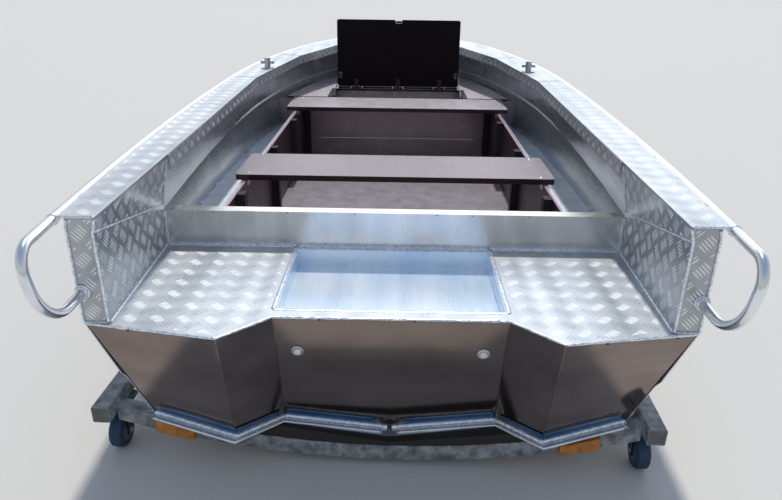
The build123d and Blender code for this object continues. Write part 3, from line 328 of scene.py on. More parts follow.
# %% Give the CAD pieces their finishes
finishes = (
    ("bottom_plate side_sheets keelson deck_beam floor_bearers stem", hull_sheet),
    ("bow_bulkhead", bow_bulkhead_painted_reflection),
    ("transom", transom_painted_shade),
    ("aft_bulkhead", bulkhead_sheet),
    ("engine_well", well_painted_sky_blue),
    ("side_shelves", shelf_painted_sky_and_light),
    ("platforms gunwales bow_plate", tread_sheet),
    ("well_walls stern_end_plates", wall_sheet),
    ("rails", drawn_tube),
    ("locker_angles chine_profiles", edge_metal),
    ("bollards bow_eye drain_fittings", fitting_metal),
    ("aft_seat", seat_film_painted_sheen),
    ("forward_seat", fore_seat_film_painted_sheen),
    ("floor", floor_film_painted_sheen),
    ("locker_panels", locker_board),
    ("bow_deck", deck_film_painted_sheen_and_light),
    ("lid", lid_film_painted_shade),
    ("locker_posts", near_black_and_painted_shade),
    ("hinge_straps hinge_leaves", hinge_painted_shade),
    ("drain_plugs seat_brackets", white_plastic),
    ("stay_feet caster_plates", hinge_zinc),
    ("stay_arms_lower stay_arms_upper hatch_angles lid_brackets", arm_black),
    ("cradle_tubes cradle_bearers", cradle_paint),
    ("bearer_rubbers", black_rubber_and_painted_shade),
    ("stop_blocks", block_orange),
    ("fork_aft_right fork_aft_left fork_fore_right fork_fore_left", fork_painted_shade),
    ("wheel_aft_right wheel_aft_left wheel_fore_right wheel_fore_left", tyre_blue),
)
dressed = {name: material for names, material in finishes for name in names.split()}
for name, node in nodes.items():
    node.data.materials.clear()
    node.data.materials.append(dressed[name])
print("nodes dressed", len(dressed), "missing", set(nodes) - set(dressed))

# %% [markdown]
# ## Camera
# The photograph was taken from behind and above the stern. The lens, place and tilt were worked
# out from points that lie in mirrored pairs on the boat.

# %% Camera
image_width, focal_px, sensor_mm = 782, 653.88, 36.0
yaw, pitch, roll = radians(-0.564), radians(23.33), radians(0.768)
ahead = Vector((sin(yaw) * cos(pitch), cos(yaw) * cos(pitch), -sin(pitch)))
level_right = Vector((cos(yaw), -sin(yaw), 0.0))
level_up = level_right.cross(ahead)
right = cos(roll) * level_right + sin(roll) * level_up
up = -sin(roll) * level_right + cos(roll) * level_up
camera = bpy.data.objects.new("camera", bpy.data.cameras.new("camera"))
bpy.context.collection.objects.link(camera)
camera.data.sensor_width = sensor_mm
camera.data.lens = sensor_mm * focal_px / image_width
camera.data.clip_end = 200.0
turn = Matrix((right, up, -ahead)).transposed()
camera.matrix_world = Matrix.Translation(place(12.5, -1400.0, 1303.0)) @ turn.to_4x4()
bpy.context.scene.camera = camera
print("lens", round(camera.data.lens, 2), "mm")

# %% [markdown]
# ## Floor and light
# A soft sun stands high and straight ahead of the boat, so that tops are bright, the transom is
# in shade and shadows fall aft, as in the photograph. Bare metal shows what surrounds it, so the
# sky matters as much as the sun: white and brightest low ahead, which is where the decks and
# planks mirror it, and bluer overhead.

# %% Floor
floor_mesh = bpy.data.meshes.new("studio_floor")
reach = 90.0
floor_corners = [(-reach, -reach, 0), (reach, -reach, 0), (reach, reach, 0), (-reach, reach, 0)]
floor_mesh.from_pydata(floor_corners, [], [(0, 1, 2, 3)])
studio_floor = bpy.data.objects.new("studio_floor", floor_mesh)
bpy.context.collection.objects.link(studio_floor)
floor_tone, tree, principled, where = finish("matt_floor", Roughness=0.9, Specular_IOR_Level=0.2)
principled.inputs["Base Color"].default_value = linear("#d2d0cd")
floor_mesh.materials.append(floor_tone)
print("floor", 2 * reach, "m wide")

# %% Sun
sun = bpy.data.objects.new("sun", bpy.data.lights.new("sun", "SUN"))
bpy.context.collection.objects.link(sun)
sun_from = Vector((0.02, 0.50, 1.0))
sun.rotation_euler = sun_from.to_track_quat("Z", "Y").to_euler()
sun.data.energy = 2.35
sun.data.angle = radians(3)
sun.data.color = linear("#fffaf0")[:3]
print("sun energy", sun.data.energy)

# %% [markdown]
# The sky is a ramp of colours by height, and its strength grows towards a glow low ahead. Where
# the camera sees the sky itself, it gets one plain pale tone, which lights nothing.

# %% Sky
world = bpy.data.worlds.new("studio")
bpy.context.scene.world = world
world.use_nodes = True
tree = world.node_tree
toward = put(tree, "TexCoord").outputs["Generated"]
height = put(tree, "SeparateXYZ", {0: toward})
sky = put(tree, "ValToRGB", {0: height.outputs[2]})
low_end, high_end = sky.color_ramp.elements
low_end.color, high_end.color = linear("#d0d0d0"), linear("#9db9e2")
for position, code in ((0.08, "#e4e6e8"), (0.3, "#f3f5f7"), (0.5, "#dde6f1"), (0.7, "#bccfea")):
    sky.color_ramp.elements.new(position).color = linear(code)
glow_towards, sky_strength, glow_strength = Vector((0.22, 0.9, 0.38)).normalized(), 0.6, 1.7
nearness = put(tree, "VectorMath", {0: toward, 1: glow_towards}, operation="DOT_PRODUCT")
glow = put(tree, "MapRange",
           {"Value": nearness.outputs["Value"], "From Min": 0.7, "From Max": 1.0,
            "To Min": sky_strength, "To Max": glow_strength}, interpolation_type="SMOOTHSTEP")
seen = put(tree, "LightPath").outputs["Is Camera Ray"]
shown = put(tree, "Mix", {0: seen, 6: sky.outputs[0], 7: linear("#eceef0")},
            data_type="RGBA")
power = put(tree, "Mix", {0: seen, 2: glow.outputs[0], 3: 1.0})
feed(tree, tree.nodes["Background"], Color=shown.outputs[2], Strength=power.outputs[0])
bpy.context.scene.view_settings.view_transform = "Standard"
print("sky strength", sky_strength, "to", glow_strength, "ahead")

# %% [markdown]
# ## Treadplate
# Five-bar treadplate is rolled between engraved rollers, which raise groups of five low bars.
# Groups lie at 45 degrees, alternately to one side and the other, and groups of one direction
# repeat every 68.5 mm. A bump texture would look flat from low angles, so each bar is a small
# real lens of metal, about 30 mm long and 0.5 to 1 mm high, laid on its plate and cut short at
# the plate's edge.


# %% Meshes on a body
def piece(name, points, faces, material, body="boat", smooth=True):
    """One object from points in metres and faces, riding on a body of the CAD model."""
    mesh = bpy.data.meshes.new(name)
    mesh.from_pydata([tuple(p) for p in points], [], faces)
    mesh.materials.append(material)
    mesh.polygons.foreach_set("use_smooth", [smooth] * len(faces))
    made = bpy.data.objects.new(name, mesh)
    bpy.context.collection.objects.link(made)
    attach(made, body)


# %% Bars
both_hands = ((1, "right"), (-1, "left"))
group_pitch, bar_length, bar_gap, bar_width = 68.5, 32.0, 8.3, 4.6
low_bars, skirt_bars, wall_bars, end_bars = 0.55, 0.8, 1.0, 1.1  # heights
trim_steps, shortest_bar, sunk = 12, 7.0, 0.1
# Each station is a share of the bar's length and its thickness there, and each rail a share of
# its half width and of its height.
stations = (
    (-0.5, 0.0), (-0.42, 0.55), (-0.25, 0.9), (0.0, 1.0), (0.25, 0.9), (0.42, 0.55), (0.5, 0.0))
rails = ((1.0, 0), (0.45, 1), (-0.45, 1), (-1.0, 0))


def trimmed(a, b, inside):
    """The longest run of a bar that lies on the plate."""
    marks = [tuple(p + i / trim_steps * (q - p) for p, q in zip(a, b))
             for i in range(trim_steps + 1)]
    best, start = (0, 0), None
    for i, mark in enumerate(marks):
        if not inside(*mark):
            start = None
            continue
        start = i if start is None else start
        if i - start > best[1] - best[0]:
            best = (start, i)
    long_enough = (best[1] - best[0]) * bar_length / trim_steps > shortest_bar
    return [marks[i] for i in best] if long_enough else None


def lens(points, faces, surface, run, along_u, along_v, rise_mm):
    """Adds one bar, thick in the middle and thin at its ends and sides."""
    (au, av), (bu, bv) = run
    base = len(points)
    for share, fat in stations:
        t = share + 0.5
        u, v = au + t * (bu - au), av + t * (bv - av)
        for side, top in rails:
            out = side * bar_width / 2 * fat
            points.append(surface(u + along_v * out, v - along_u * out, top * fat * rise_mm - sunk))
    for ring in range(len(stations) - 1):
        for lane in range(len(rails) - 1):
            corner = base + 4 * ring + lane
            faces.append((corner, corner + 1, corner + 5, corner + 4))


def treadplate(name, surface, inside, reach_u, reach_v, metal=flat_bar_painted_shade,
               shift=(29.75, 27.75), rise_mm=low_bars):
    """Bars over a plate. surface(u, v, lift) is in metres, and inside(u, v) is the plate."""
    points, faces, bars = [], [], 0
    for family, slant in ((0, 1), (1, -1)):
        start = family * group_pitch / 2
        along_u, along_v = cos(radians(45)), slant * sin(radians(45))
        us, vs = [
            [offset + start + group_pitch * i
             for i in range(int(low // group_pitch) - 1, int(high // group_pitch) + 2)]
            for offset, (low, high) in zip(shift, (reach_u, reach_v))
        ]
        for cu, cv, k in [(cu, cv, k) for cu in us for cv in vs for k in (-2, -1, 0, 1, 2)]:
            mid_u, mid_v = cu - k * bar_gap * along_v, cv + k * bar_gap * along_u
            half = bar_length / 2 * (1.0 if abs(k) < 2 else 0.93)
            run = trimmed((mid_u - half * along_u, mid_v - half * along_v),
                          (mid_u + half * along_u, mid_v + half * along_v), inside)
            if run is not None:
                lens(points, faces, surface, run, along_u, along_v, rise_mm)
                bars += 1
    piece(name, points, faces, metal)
    print(name, "bars", bars, "faces", len(faces))


def polygon_test(corners, margin):
    """Whether a point is inside a polygon and at least the margin from its edges."""
    def test(u, v):
        odd = False
        for (u0, v0), (u1, v1) in zip(corners, corners[1:] + corners[:1]):
            if (v0 > v) != (v1 > v) and u < u0 + (v - v0) / (v1 - v0) * (u1 - u0):
                odd = not odd
            span = hypot(u1 - u0, v1 - v0)
            if span:
                t = max(0.0, min(1.0, ((u - u0) * (u1 - u0) + (v - v0) * (v1 - v0)) / span**2))
                if hypot(u - u0 - t * (u1 - u0), v - v0 - t * (v1 - v0)) < margin:
                    return False
        return odd
    return test


# %% [markdown]
# The platforms are flat. Each wall beside them is folded once, and leans more at one end than
# at the other, so its bars are laid on the ruled surface between its two edges.

# %% Bars on the platforms
platform_height, well_half, well_aft, well_front, bulkhead_y = 490.0, 300.0, 90.0, 480.0, 507.0
platform_edge = ((314, 502), (710, 502), (690, 4), (417, -54), (316, 44))
for side, word in both_hands:
    treadplate(f"platform_bars_{word}", lambda u, v, lift: place(u, v, platform_height + lift),
               polygon_test([(side * x, y) for x, y in platform_edge], 3.0),
               (-720, 720), (-70, 510))

# %% Bars on the walls and the end plates
# Each edge is a point (x, z) at the stern and one at the bulkhead.
wall_low = ((694.0, 490.3), (694.0, 730.0)), ((716.0, 490.3), (714.0, 622.0))
wall_high = ((694.0, 730.0), (684.5, 766.0)), ((714.0, 622.0), (684.5, 775.0))
end_plate_edge = ((699, 494), (753, 494), (753, 765), (690, 765), (699, 731))


def wall_surface(edges, side):
    """A ruled wall beside the platforms: u runs forward and v runs up the wall."""
    def surface(u, v, lift):
        t = u / bulkhead_y
        (x0, z0), (x1, z1) = [tuple(a + t * (b - a) for a, b in zip(p, q)) for p, q in zip(*edges)]
        span = hypot(x1 - x0, z1 - z0)
        ux, uz = (x1 - x0) / span, (z1 - z0) / span
        return place(side * (x0 + v * ux - lift * uz), u, z0 + v * uz + lift * ux)
    return surface


def wall_inside(edges):
    """The same wall, unrolled."""
    aft, front = [hypot(x1 - x0, z1 - z0) for (x0, z0), (x1, z1) in edges]
    return polygon_test([(0.0, 0.0), (bulkhead_y, 0.0), (bulkhead_y, front), (0.0, aft)], 3.5)


for side, word in both_hands:
    for label, edges in (("lower", wall_low), ("upper", wall_high)):
        treadplate(f"wall_bars_{label}_{word}", wall_surface(edges, side), wall_inside(edges),
                   (0, 510), (0, 250), wall_bar_painted_highlight, rise_mm=wall_bars)
    treadplate(f"end_plate_bars_{word}", lambda u, v, lift: place(u, -lift, v),
               polygon_test([(side * x, z) for x, z in end_plate_edge], 2.0),
               (-760, 760), (480, 770), wall_bar_painted_highlight, (side * 10.0, 8.0), end_bars)

# %% [markdown]
# The gunwale tops follow the rail, which is a chain of arcs. The same arcs, set in by the rail's
# radius, bound the bars on the outboard side, and the folded inner edge bounds them inboard.

# %% The rail's line in plan
rail_start_x, rail_start_heading, rail_radius = 784.5, 3.7, 12.5
rail_plan = ((18700.0, -2.0), (4510.0, -18.1), (1433.0, None))  # arcs: radius, heading at its end
inner_line = ((683.0, 0.0), (684.0, 1850.0), (576.0, 2600.0), (410.0, 3080.0), (175.0, 3300.0),
              (0.0, 3300.0))
bow_split = inner_line[3][1]


def rail_x(y, inset=0.0):
    """Half-breadth of the rail's centreline, or of a line inboard of it."""
    x, start, heading = rail_start_x, 0.0, rail_start_heading
    for radius, end in rail_plan:
        cx, cy = x - radius * cos(radians(heading)), start + radius * sin(radians(heading))
        if end is None or y <= cy - (radius - inset) * sin(radians(end)):
            return cx + sqrt(max((radius - inset) ** 2 - (y - cy) ** 2, 0.0))
        x, start, heading = cx + radius * cos(radians(end)), cy - radius * sin(radians(end)), end


def inner_x(y):
    """Half-breadth of the gunwale's folded inner edge."""
    for (x0, y0), (x1, y1) in zip(inner_line, inner_line[1:]):
        if y <= y1 and y1 > y0:
            return x0 + (y - y0) / (y1 - y0) * (x1 - x0)
    return 0.0


outer_table = [rail_x(10.0 * i, rail_radius + 5.0) for i in range(390)]


def on_gunwale(x, y):
    """Whether bars may lie there: clear of the rail and of the inner fold."""
    outer = outer_table[min(max(int(y // 10), 0), 388)]
    return inner_x(y) + 3.5 < x < outer


print("half-breadth at the stern", round(rail_x(0.0), 1))

# %% Bars on the gunwales and the bow plate
for side, word in both_hands:
    treadplate(f"gunwale_bars_{word}", on_sheer,
               lambda u, v: 4.0 < v < bow_split - 6.0 and on_gunwale(side * u, v),
               (-840, 840), (0, 3090))
treadplate("bow_plate_bars", on_sheer,
           lambda u, v: bow_split + 6.0 < v < 3850.0 and on_gunwale(abs(u), v),
           (-640, 640), (3070, 3880))

# %% [markdown]
# The gunwale plate is folded down along its inner edge, and its bars run on over the fold.


# %% Bars on the folded skirts
def skirt_surface(side):
    """The folded inner edge of a gunwale: u runs along it and v runs down from the top."""
    knots = [(681.6, bulkhead_y + 5.0), *inner_line[1:4]]

    def surface(u, v, lift):
        for (x0, y0), (x1, y1) in zip(knots, knots[1:]):
            span = hypot(x1 - x0, y1 - y0)
            if u <= span or (x1, y1) == knots[-1]:
                tx, ty = (x1 - x0) / span, (y1 - y0) / span
                x = x0 + u * tx - lift * ty
                return on_sheer(side * x, y0 + u * ty + lift * tx, -v)
            u -= span
    return surface


for side, word in both_hands:
    treadplate(f"skirt_bars_{word}", skirt_surface(side),
               lambda u, v: 6.0 < u < 2590.0 and 4.0 < v < 45.0,
               (0, 2600), (0, 48), wall_bar_painted_highlight, (0.0, 6.0), skirt_bars)

# %% [markdown]
# ## Weld beads
# Every joint between sheets is closed with a bead. A bead is a bar swept along the joint, whose
# radius swells and shrinks along the way. The real scales are 3 mm apart, and are drawn at 5 to
# 9 mm so that they show. A flat bar uses the same sweep with its height reduced.


# %% Sweep
def resampled(path, step):
    """Points at even steps along a line of points, in metres, with the step in millimetres."""
    out, spare = [path[0]], 0.0
    for a, b in zip(path, path[1:]):
        length = (b - a).length * 1000
        travel = step - spare
        while travel <= length:
            out.append(a.lerp(b, travel / length))
            travel += step
        spare = length - (travel - step)
    return out if len(out) > 1 else [path[0], path[-1]]


def swept(path, reach, sides=8, closed=False, up=None, flat=1.0):
    """Points and faces of a bar along a line. reach(s) is its radius in mm at s mm along."""
    points, faces, normal, travelled = [], [], None, 0.0
    for i, p in enumerate(path):
        before = path[i - 1] if i or closed else p
        after = path[(i + 1) % len(path)] if i < len(path) - 1 or closed else p
        ahead = (after - before).normalized()
        if up is not None:
            normal = (up - ahead * up.dot(ahead)).normalized()
        elif normal is None:
            normal = ahead.orthogonal().normalized()
        else:
            normal = (normal - ahead * normal.dot(ahead)).normalized()
        travelled += (p - path[i - 1]).length * 1000 if i else 0.0
        radius = reach(travelled) / 1000
        across = ahead.cross(normal)
        for k in range(sides):
            angle = 2 * pi * k / sides
            points.append(p + radius * (flat * cos(angle) * normal + sin(angle) * across))
    rings = len(path)
    for i in range(rings if closed else rings - 1):
        for k in range(sides):
            a, b = i * sides, (i + 1) % rings * sides
            faces.append((a + k, a + (k + 1) % sides, b + (k + 1) % sides, b + k))
    if not closed:
        faces += [tuple(range(sides))[::-1], tuple(range((rings - 1) * sides, rings * sides))]
    return points, faces


def rod(path, radius, sides=8, step=None, **shape):
    """A bar of one radius in mm along a line, at even steps if a step is given."""
    return swept(resampled(path, step) if step else path, lambda s: radius, sides, **shape)


def gathered(name, shapes, material, body="boat", smooth=True):
    """One object from several lists of points and faces."""
    points, faces = [], []
    for more_points, more_faces in shapes:
        faces += [tuple(k + len(points) for k in face) for face in more_faces]
        points += more_points
    piece(name, points, faces, material, body, smooth)
    print(name, "shapes", len(shapes), "faces", len(faces))


def bead(path, radius, rough, scale=7.0, closed=False, up=None, flat=1.0):
    """A weld bead along a line of points in metres."""
    seed = path[0].x * 37 + path[0].y * 11

    def reach(s):
        wander = rough * noise.noise((s / 14, seed, radius))
        return radius * (1 + 0.13 * sin(2 * pi * s / scale) + wander)
    return swept(path if closed else resampled(path, scale / 2), reach, 8, closed, up, flat)


def stitch(start, end, radius):
    """A short weld that is thick in the middle and runs out at both ends."""
    span = (end - start).length * 1000

    def reach(s):
        bulge = max(0.2, sqrt(max(0.0, 1 - (2 * s / span - 1) ** 2)))
        return radius * bulge * (1 + 0.2 * noise.noise((s / 4, start.x * 50, start.y * 50)))
    return swept(resampled([start, end], 2.5), reach, 8)


def both_sides(points):
    """The same line on the right and, mirrored, on the left."""
    return [[place(side * x, y, z) for x, y, z in points] for side in (1, -1)]


# %% [markdown]
# The thickest bead closes the transom's foot on the bottom plate, and the plate's free edge aft
# of it ends in a round hem, so the whole lip shines.

# %% Bead and hem at the transom's foot
transom_top = ((753.0, 0.0), (417.0, -62.0), (301.0, 47.0))
foot_line = [(641.0, 0.0), (409.0, -62.0), (298.0, 47.0), (7.0, 47.0)]
rake = 0.2126  # tangent of the transom's 12 degrees
keel_z, chine_x, chine_z, plate = 82.0, 645.0, 170.0, 4.0
bead_out, bead_radius, lip_out, hem_radius = 2.0, 9.5, 27.5, 4.0


def foot(x, y_top, out):
    """The transom's foot on the V of the bottom, or a point that far aft of it on the plate."""
    z = keel_z + (chine_z - keel_z) * abs(x) / chine_x + plate
    return (x, y_top + (platform_height - z) * rake - out, z)


foot_beads = [bead(line, bead_radius, 0.12, 5.0)
              for line in both_sides([foot(x, y, bead_out) for x, y in foot_line])]
gathered("transom_foot_welds", foot_beads, weld_metal)
hems = [rod(line, hem_radius, step=20)
        for line in both_sides([foot(x, y, lip_out) for x, y in foot_line])]
gathered("rolled_hem", hems, edge_metal)

# %% [markdown]
# At the keel the beads leave a small drain hole between them. It is drawn as a thin near-black
# plate on the transom: painted shade of the dark boat behind it.


# %% The drain hole at the keel
def on_transom(x, rise, out):
    """A point on the middle panel, that far above its foot at the keel and aft of the sheet."""
    z = keel_z + plate + rise
    return place(x, transom_top[2][1] + (platform_height - z) * rake - out, z)


diamond = [(0, 38), (-27, 26), (-25, 20), (-8, 9), (8, 9), (25, 20), (27, 26)]
count = len(diamond)
hole = [on_transom(x, rise, out) for out in (1.0, 0.2) for x, rise in diamond]
hole_faces = [tuple(range(count)), tuple(range(2 * count - 1, count - 1, -1))]
hole_faces += [(k, count + k, count + (k + 1) % count, (k + 1) % count) for k in range(count)]
gathered("keel_drain_hole_painted_shade", [(hole, hole_faces)], near_black_and_painted_shade, smooth=False)
hole_rim = [on_transom(x, rise, 1.2) for x, rise in diamond]
gathered("keel_drain_rim", [rod(hole_rim, 1.3, 6, closed=True)], transom_painted_shade)

# %% [markdown]
# Above the foot bead the weld was ground to a smooth strip. The transom's top edge is welded to
# its flange by hand, and a fold runs down to the foot wherever the sheet changes direction.

# %% Ground strip, top weld and folds
transom_out = Vector((0, -0.978, -0.208))
blend_end, blend_rise, blend_half, blend_flat = (30.0, 47.0), 19.0, 12.0, 0.16
blends = []
for pair in zip(foot_line[:3], foot_line[1:3] + [blend_end]):
    root = [foot(x, y, 1.0) for x, y in pair]
    lifted = [(x, y - blend_rise * rake, z + blend_rise) for x, y, z in root]
    blends += [rod(line, blend_half, 12, 20, up=transom_out, flat=blend_flat)
               for line in both_sides(lifted)]
# The strip's blue colour is a painted sky reflection.
gathered("transom_foot_blend", blends, root_strip_painted_sky)
top_half = [(x, y - 1.0, platform_height - 1.5) for x, y in transom_top]
top_line = top_half + [(-x, y, z) for x, y, z in reversed(top_half)]
gathered("transom_top_weld", [bead([place(*p) for p in top_line], 3.6, 0.35)], weld_metal)
folds = [[(x, y - 0.5, platform_height - 3.0), foot(foot_x, y, 0.5)]
         for (x, y), (foot_x, _) in zip(transom_top[1:], foot_line[1:])]
fold_lines = [rod(line, 1.1, 6, 20) for fold in folds for line in both_sides(fold)]
gathered("transom_folds", fold_lines, transom_painted_shade)

# %% [markdown]
# Beads also run up both edges of each end plate, along the feet of the walls and the bulkhead,
# along the fold of the walls, where the seam is rough because it was welded from inside, and
# around the well, where the bead is wide and flat.

# %% Beads on the stern
# Each row is a bead's radius, how rough it is, its scale, and its line on the right.
stern_lines = (
    (3.6, 0.3, 7.0, ((694.5, -1.5, 491), (694.5, -1.5, 730), (685.5, -1.5, 766))),
    (3.0, 0.3, 7.0, ((697, -1.5, 492), (756, -1.5, 492), (756.5, -1.5, 740), (752, -1.5, 762))),
    (4.0, 0.15, 5.0, ((692.0, 3, 491), (714.0, 505, 491))),
    (5.0, 0.15, 5.0, ((714.0, 505, 493), (712.5, 505, 602))),
    (3.0, 0.3, 7.0, ((713.5, 505.5, 624), (686.5, 505.5, 768))),
    (2.4, 0.4, 9.0, ((693.3, 2, 730), (713.3, 504, 622))),
    (4.5, 0.15, 5.0, ((712, 504.5, 492), (304, 504.5, 492))),
    (4.0, 0.15, 5.0, ((706, 496, 490.5), (312, 496, 490.5))),
)
joints = [bead(line, radius, rough, scale)
          for radius, rough, scale, points in stern_lines for line in both_sides(points)]
for half, y, z, radius in ((297, 504.5, 492, 4.5), (300, 496, 490.5, 4.0)):
    joints.append(bead([place(-half, y, z), place(half, y, z)], radius, 0.15, 5.0))
gathered("stern_welds", joints, weld_metal)

# %% The bead around the well
up_axis = Vector((0, 0, 1))
rim_x, rim_aft, rim_front = well_half + 5.0, well_aft - 5.0, well_front + 5.0
rim = [place(x, y, platform_height) for x, y in (
    (rim_x, rim_aft), (rim_x, rim_front), (-rim_x, rim_front), (-rim_x, rim_aft), (rim_x, rim_aft))]
rim_beads = [bead([a, b], 6.0, 0.12, 8.0, up=up_axis, flat=0.3) for a, b in zip(rim, rim[1:])]
gathered("well_rim", rim_beads, weld_metal)

# %% [markdown]
# The flanges were tacked from below before welding, and each tack left a burnt spot. A black rubber
# strip on the deck, between the hatch lid's hinges, fills the gap under the lid as painted shade,
# and the bow bulkhead was folded once across, which is drawn as a thin ridge in the swage's
# whitened finish, a painted highlight.

# %% Tack marks, hatch strip and the fold of the bow bulkhead
tack_z = platform_height - 6.0
spots = [(x, 505.5, 601.0) for x in (-560, -330, -120, 135, 245, 420, 610)]
spots += [(x, -3.0 - 62.0 * (753 - abs(x)) / 336, tack_z) for x in (-640, 520, 700)]
spots += [(x, 45.5, tack_z) for x in (-180, 60)]
marks = [rod([place(x - 3, y, z), place(x, y - 1, z), place(x + 3, y, z)], 1.8, 6)
         for x, y, z in spots]
gathered("tack_marks", marks, near_black_and_painted_shade)
# The strip under the lid is painted shade of the gap there.
strip_y, strip_z, strip_ends = 2808, 606.8, ((-376, -296), (-224, -36), (36, 224), (296, 376))
strips = [rod([place(x, strip_y, strip_z) for x in ends], 3.0, 12, up=up_axis, flat=2.2)
          for ends in strip_ends]
gathered("hatch_gap_painted_shade", strips, black_rubber_and_painted_shade)
# The fold's ridge wears the whitened crest finish: painted highlight.
crease = [place(x, 2504.6, 352 + 5 * cos(x / 400)) for x in range(-470, 471, 20)]
gathered("bow_bulkhead_fold", [rod(crease, 2.6)], crest_painted_highlight)

# %% [markdown]
# The handle is the rail's own tube, bent round and welded to the end plate, so it wears a
# collar of weld at its foot. Short stitch welds hold the gunwale plate to the rail, and the
# shelves to the hull. Where the folded gunwale changes direction it was cut, mitred and welded.


# %% Collars
def ring(centre, axis, radius, thick):
    """A bead around a tube. The centre is in millimetres."""
    axis = axis.normalized()
    first = axis.orthogonal().normalized()
    second = axis.cross(first)
    turns = [2 * pi * k / ring_steps for k in range(ring_steps)]
    path = [place(*centre) + radius / 1000 * (cos(t) * first + sin(t) * second) for t in turns]
    return bead(path, thick, 0.3, 6.0, closed=True)


collars, ring_steps, aft_to_fore = [], 40, Vector((0, 1, 0))
turned = radians(rail_start_heading)
for side in (1, -1):
    collars.append(ring((side * 744.7, -2.0, 575), aft_to_fore, 15.5, 5.0))
    collars.append(ring((side * 744.7, -8.0, 575), aft_to_fore, 13.5, 3.0))
    heading = Vector((side * sin(turned), cos(turned), sin(sheer)))
    collars.append(ring((side * 784.6, 1.0, 760), heading, 12.8, 2.0))
    collars.append(bead([place(side * x, -1, 769) for x in (772, 758, 684)], 3.0, 0.3))
gathered("collar_welds", collars, weld_metal)

# %% Tacks and mitres on the gunwales
tacks, mitres = [], []
tack_half, beside_rail = 14, rail_radius + 1.0
for side in (1, -1):
    for y in range(150, 3000, 210):
        start = on_sheer(side * rail_x(y, beside_rail), y - tack_half, 0.3)
        end = on_sheer(side * rail_x(y + tack_half, beside_rail), y + tack_half, 0.3)
        tacks.append(stitch(start, end, 2.4))
    for (x, y), lean in ((inner_line[1], 0.08), (inner_line[2], 0.32), (inner_line[3], 0.0)):
        far_y = y + lean * 150
        across = [on_sheer(side * (x + 1), y, 0.2),
                  on_sheer(side * rail_x(far_y, beside_rail), far_y, 0.2)]
        down = [on_sheer(side * (x - 0.5), y, 0.2), on_sheer(side * (x - 0.5), y, -46)]
        mitres += [bead(across, 1.8, 0.3), bead(down, 1.8, 0.3)]
gathered("rail_tacks", tacks, weld_metal)
gathered("gunwale_mitres", mitres, weld_metal)

# %% [markdown]
# The side sheets carry two pressed swages that stiffen them. The upper one is a rounded ridge,
# drawn as one long bright line from the seats to the bow: the ridge catches the light, and its
# finish is whiter than the sheet, a painted highlight.

# %% Swage
sheet_inset = 30.5  # from the rail's centreline to the inner face of the side sheet


def knuckle_z(y):
    """Height of the upper swage, which eases off towards the bow."""
    return 490.0 + 0.0727 * y - 8.3e-6 * y**2


ridges, ridge_radius = [], 8.0
for side in (1, -1):
    path = [place(side * rail_x(y, sheet_inset), y, knuckle_z(y)) for y in range(1750, 3500, 25)]
    ridges.append(swept(path, lambda s: ridge_radius * min(1.0, 0.2 + s / 300), 16))
gathered("upper_swage", ridges, crest_painted_highlight)

# %% [markdown]
# The shelves' outer edges were cut to the hull. The CAD node knows where they are, so the
# stitches read their places from its corners.


# %% Shelf stitches
def outer_edge(name, side, z):
    """The outermost x of a node at each y where it has a corner at that height."""
    widest = {}
    node = nodes[name]
    for vertex in node.data.vertices:
        p = node.matrix_world @ vertex.co
        if side * p.x > 0 and abs(p.z * 1000 - z) < 1.0:
            y = round(p.y * 1000 - stern_y)
            widest[y] = max(widest.get(y, 0.0), side * p.x * 1000)
    return sorted(widest.items())


shelf_z, stitch_half = 440.0, 17
shelf_stitches = []
for side in (1, -1):
    edge = outer_edge("side_shelves", side, shelf_z)
    for y in range(560, 2480, 120):
        (y0, x0), (y1, x1) = next((a, b) for a, b in zip(edge, edge[1:]) if a[0] <= y <= b[0])
        ends = [place(side * (x0 + (v - y0) / (y1 - y0) * (x1 - x0) - 1.0), v, shelf_z + 1.5)
                for v in (y - stitch_half, y + stitch_half)]
        shelf_stitches.append(stitch(*ends, 4.5))
gathered("shelf_stitches", shelf_stitches, weld_metal)

# %% [markdown]
# ## Screws, plugs and hubs
# Small turned parts share one lathe, which spins a short outline around an axis. A screw head
# is a low dome, a bolt has six sides, and a caster's hub is a stepped disc on each face.


# %% Lathe
def lathe(centre, axis, outline, sides=16):
    """Spins (radius, height) pairs in mm around an axis through a point in metres."""
    axis = axis.normalized()
    first = axis.orthogonal().normalized()
    second = axis.cross(first)
    points, faces = [], []
    for radius, rise in outline:
        for k in range(sides):
            angle = 2 * pi * k / sides
            out = radius * (cos(angle) * first + sin(angle) * second)
            points.append(centre + (rise * axis + out) / 1000)
    for i in range(len(outline) - 1):
        for k in range(sides):
            a, b, n = i * sides + k, (i + 1) * sides + k, (k + 1) % sides - k
            faces.append((a, a + n, b + n, b))
    faces.append(tuple(range((len(outline) - 1) * sides, len(outline) * sides)))
    return points, faces


def dome(radius, high):
    """The outline of a round screw head."""
    shares = ((1.0, 0.0), (1.0, 0.25), (0.85, 0.7), (0.5, 0.95), (0.15, 1.0))
    return [(a * radius, b * high) for a, b in shares]


def bolt(radius, high):
    """The outline of a bolt head or nut with a small chamfer."""
    return ((radius, 0.0), (radius, 0.8 * high), (0.86 * radius, high))


# %% Screws on the boards
to_right, board_top = Vector((1, 0, 0)), 600
seat_screws = [(540, 930), (540, 1180), (550, 2210), (550, 2460)]
deck_screws = [(410, 2525), (500, 2525), (600, 2525), (410, 2640), (410, 2760), (610, 2640),
               (570, 2760), (520, 2850)]
heads = []
for side in (1, -1):
    heads += [lathe(place(side * 562.2, y, z), side * to_right, dome(4.5, 2.0))
              for y in (760, 1400, 1960, 2470) for z in (545, 420, 300)]
    heads += [lathe(place(side * x, y, board_top), up_axis, dome(4.5, 1.6)) for x, y in seat_screws]
    heads += [lathe(place(side * x, y, board_top), up_axis, dome(5.0, 1.8)) for x, y in deck_screws]
gathered("board_screws", heads, bright_screw)

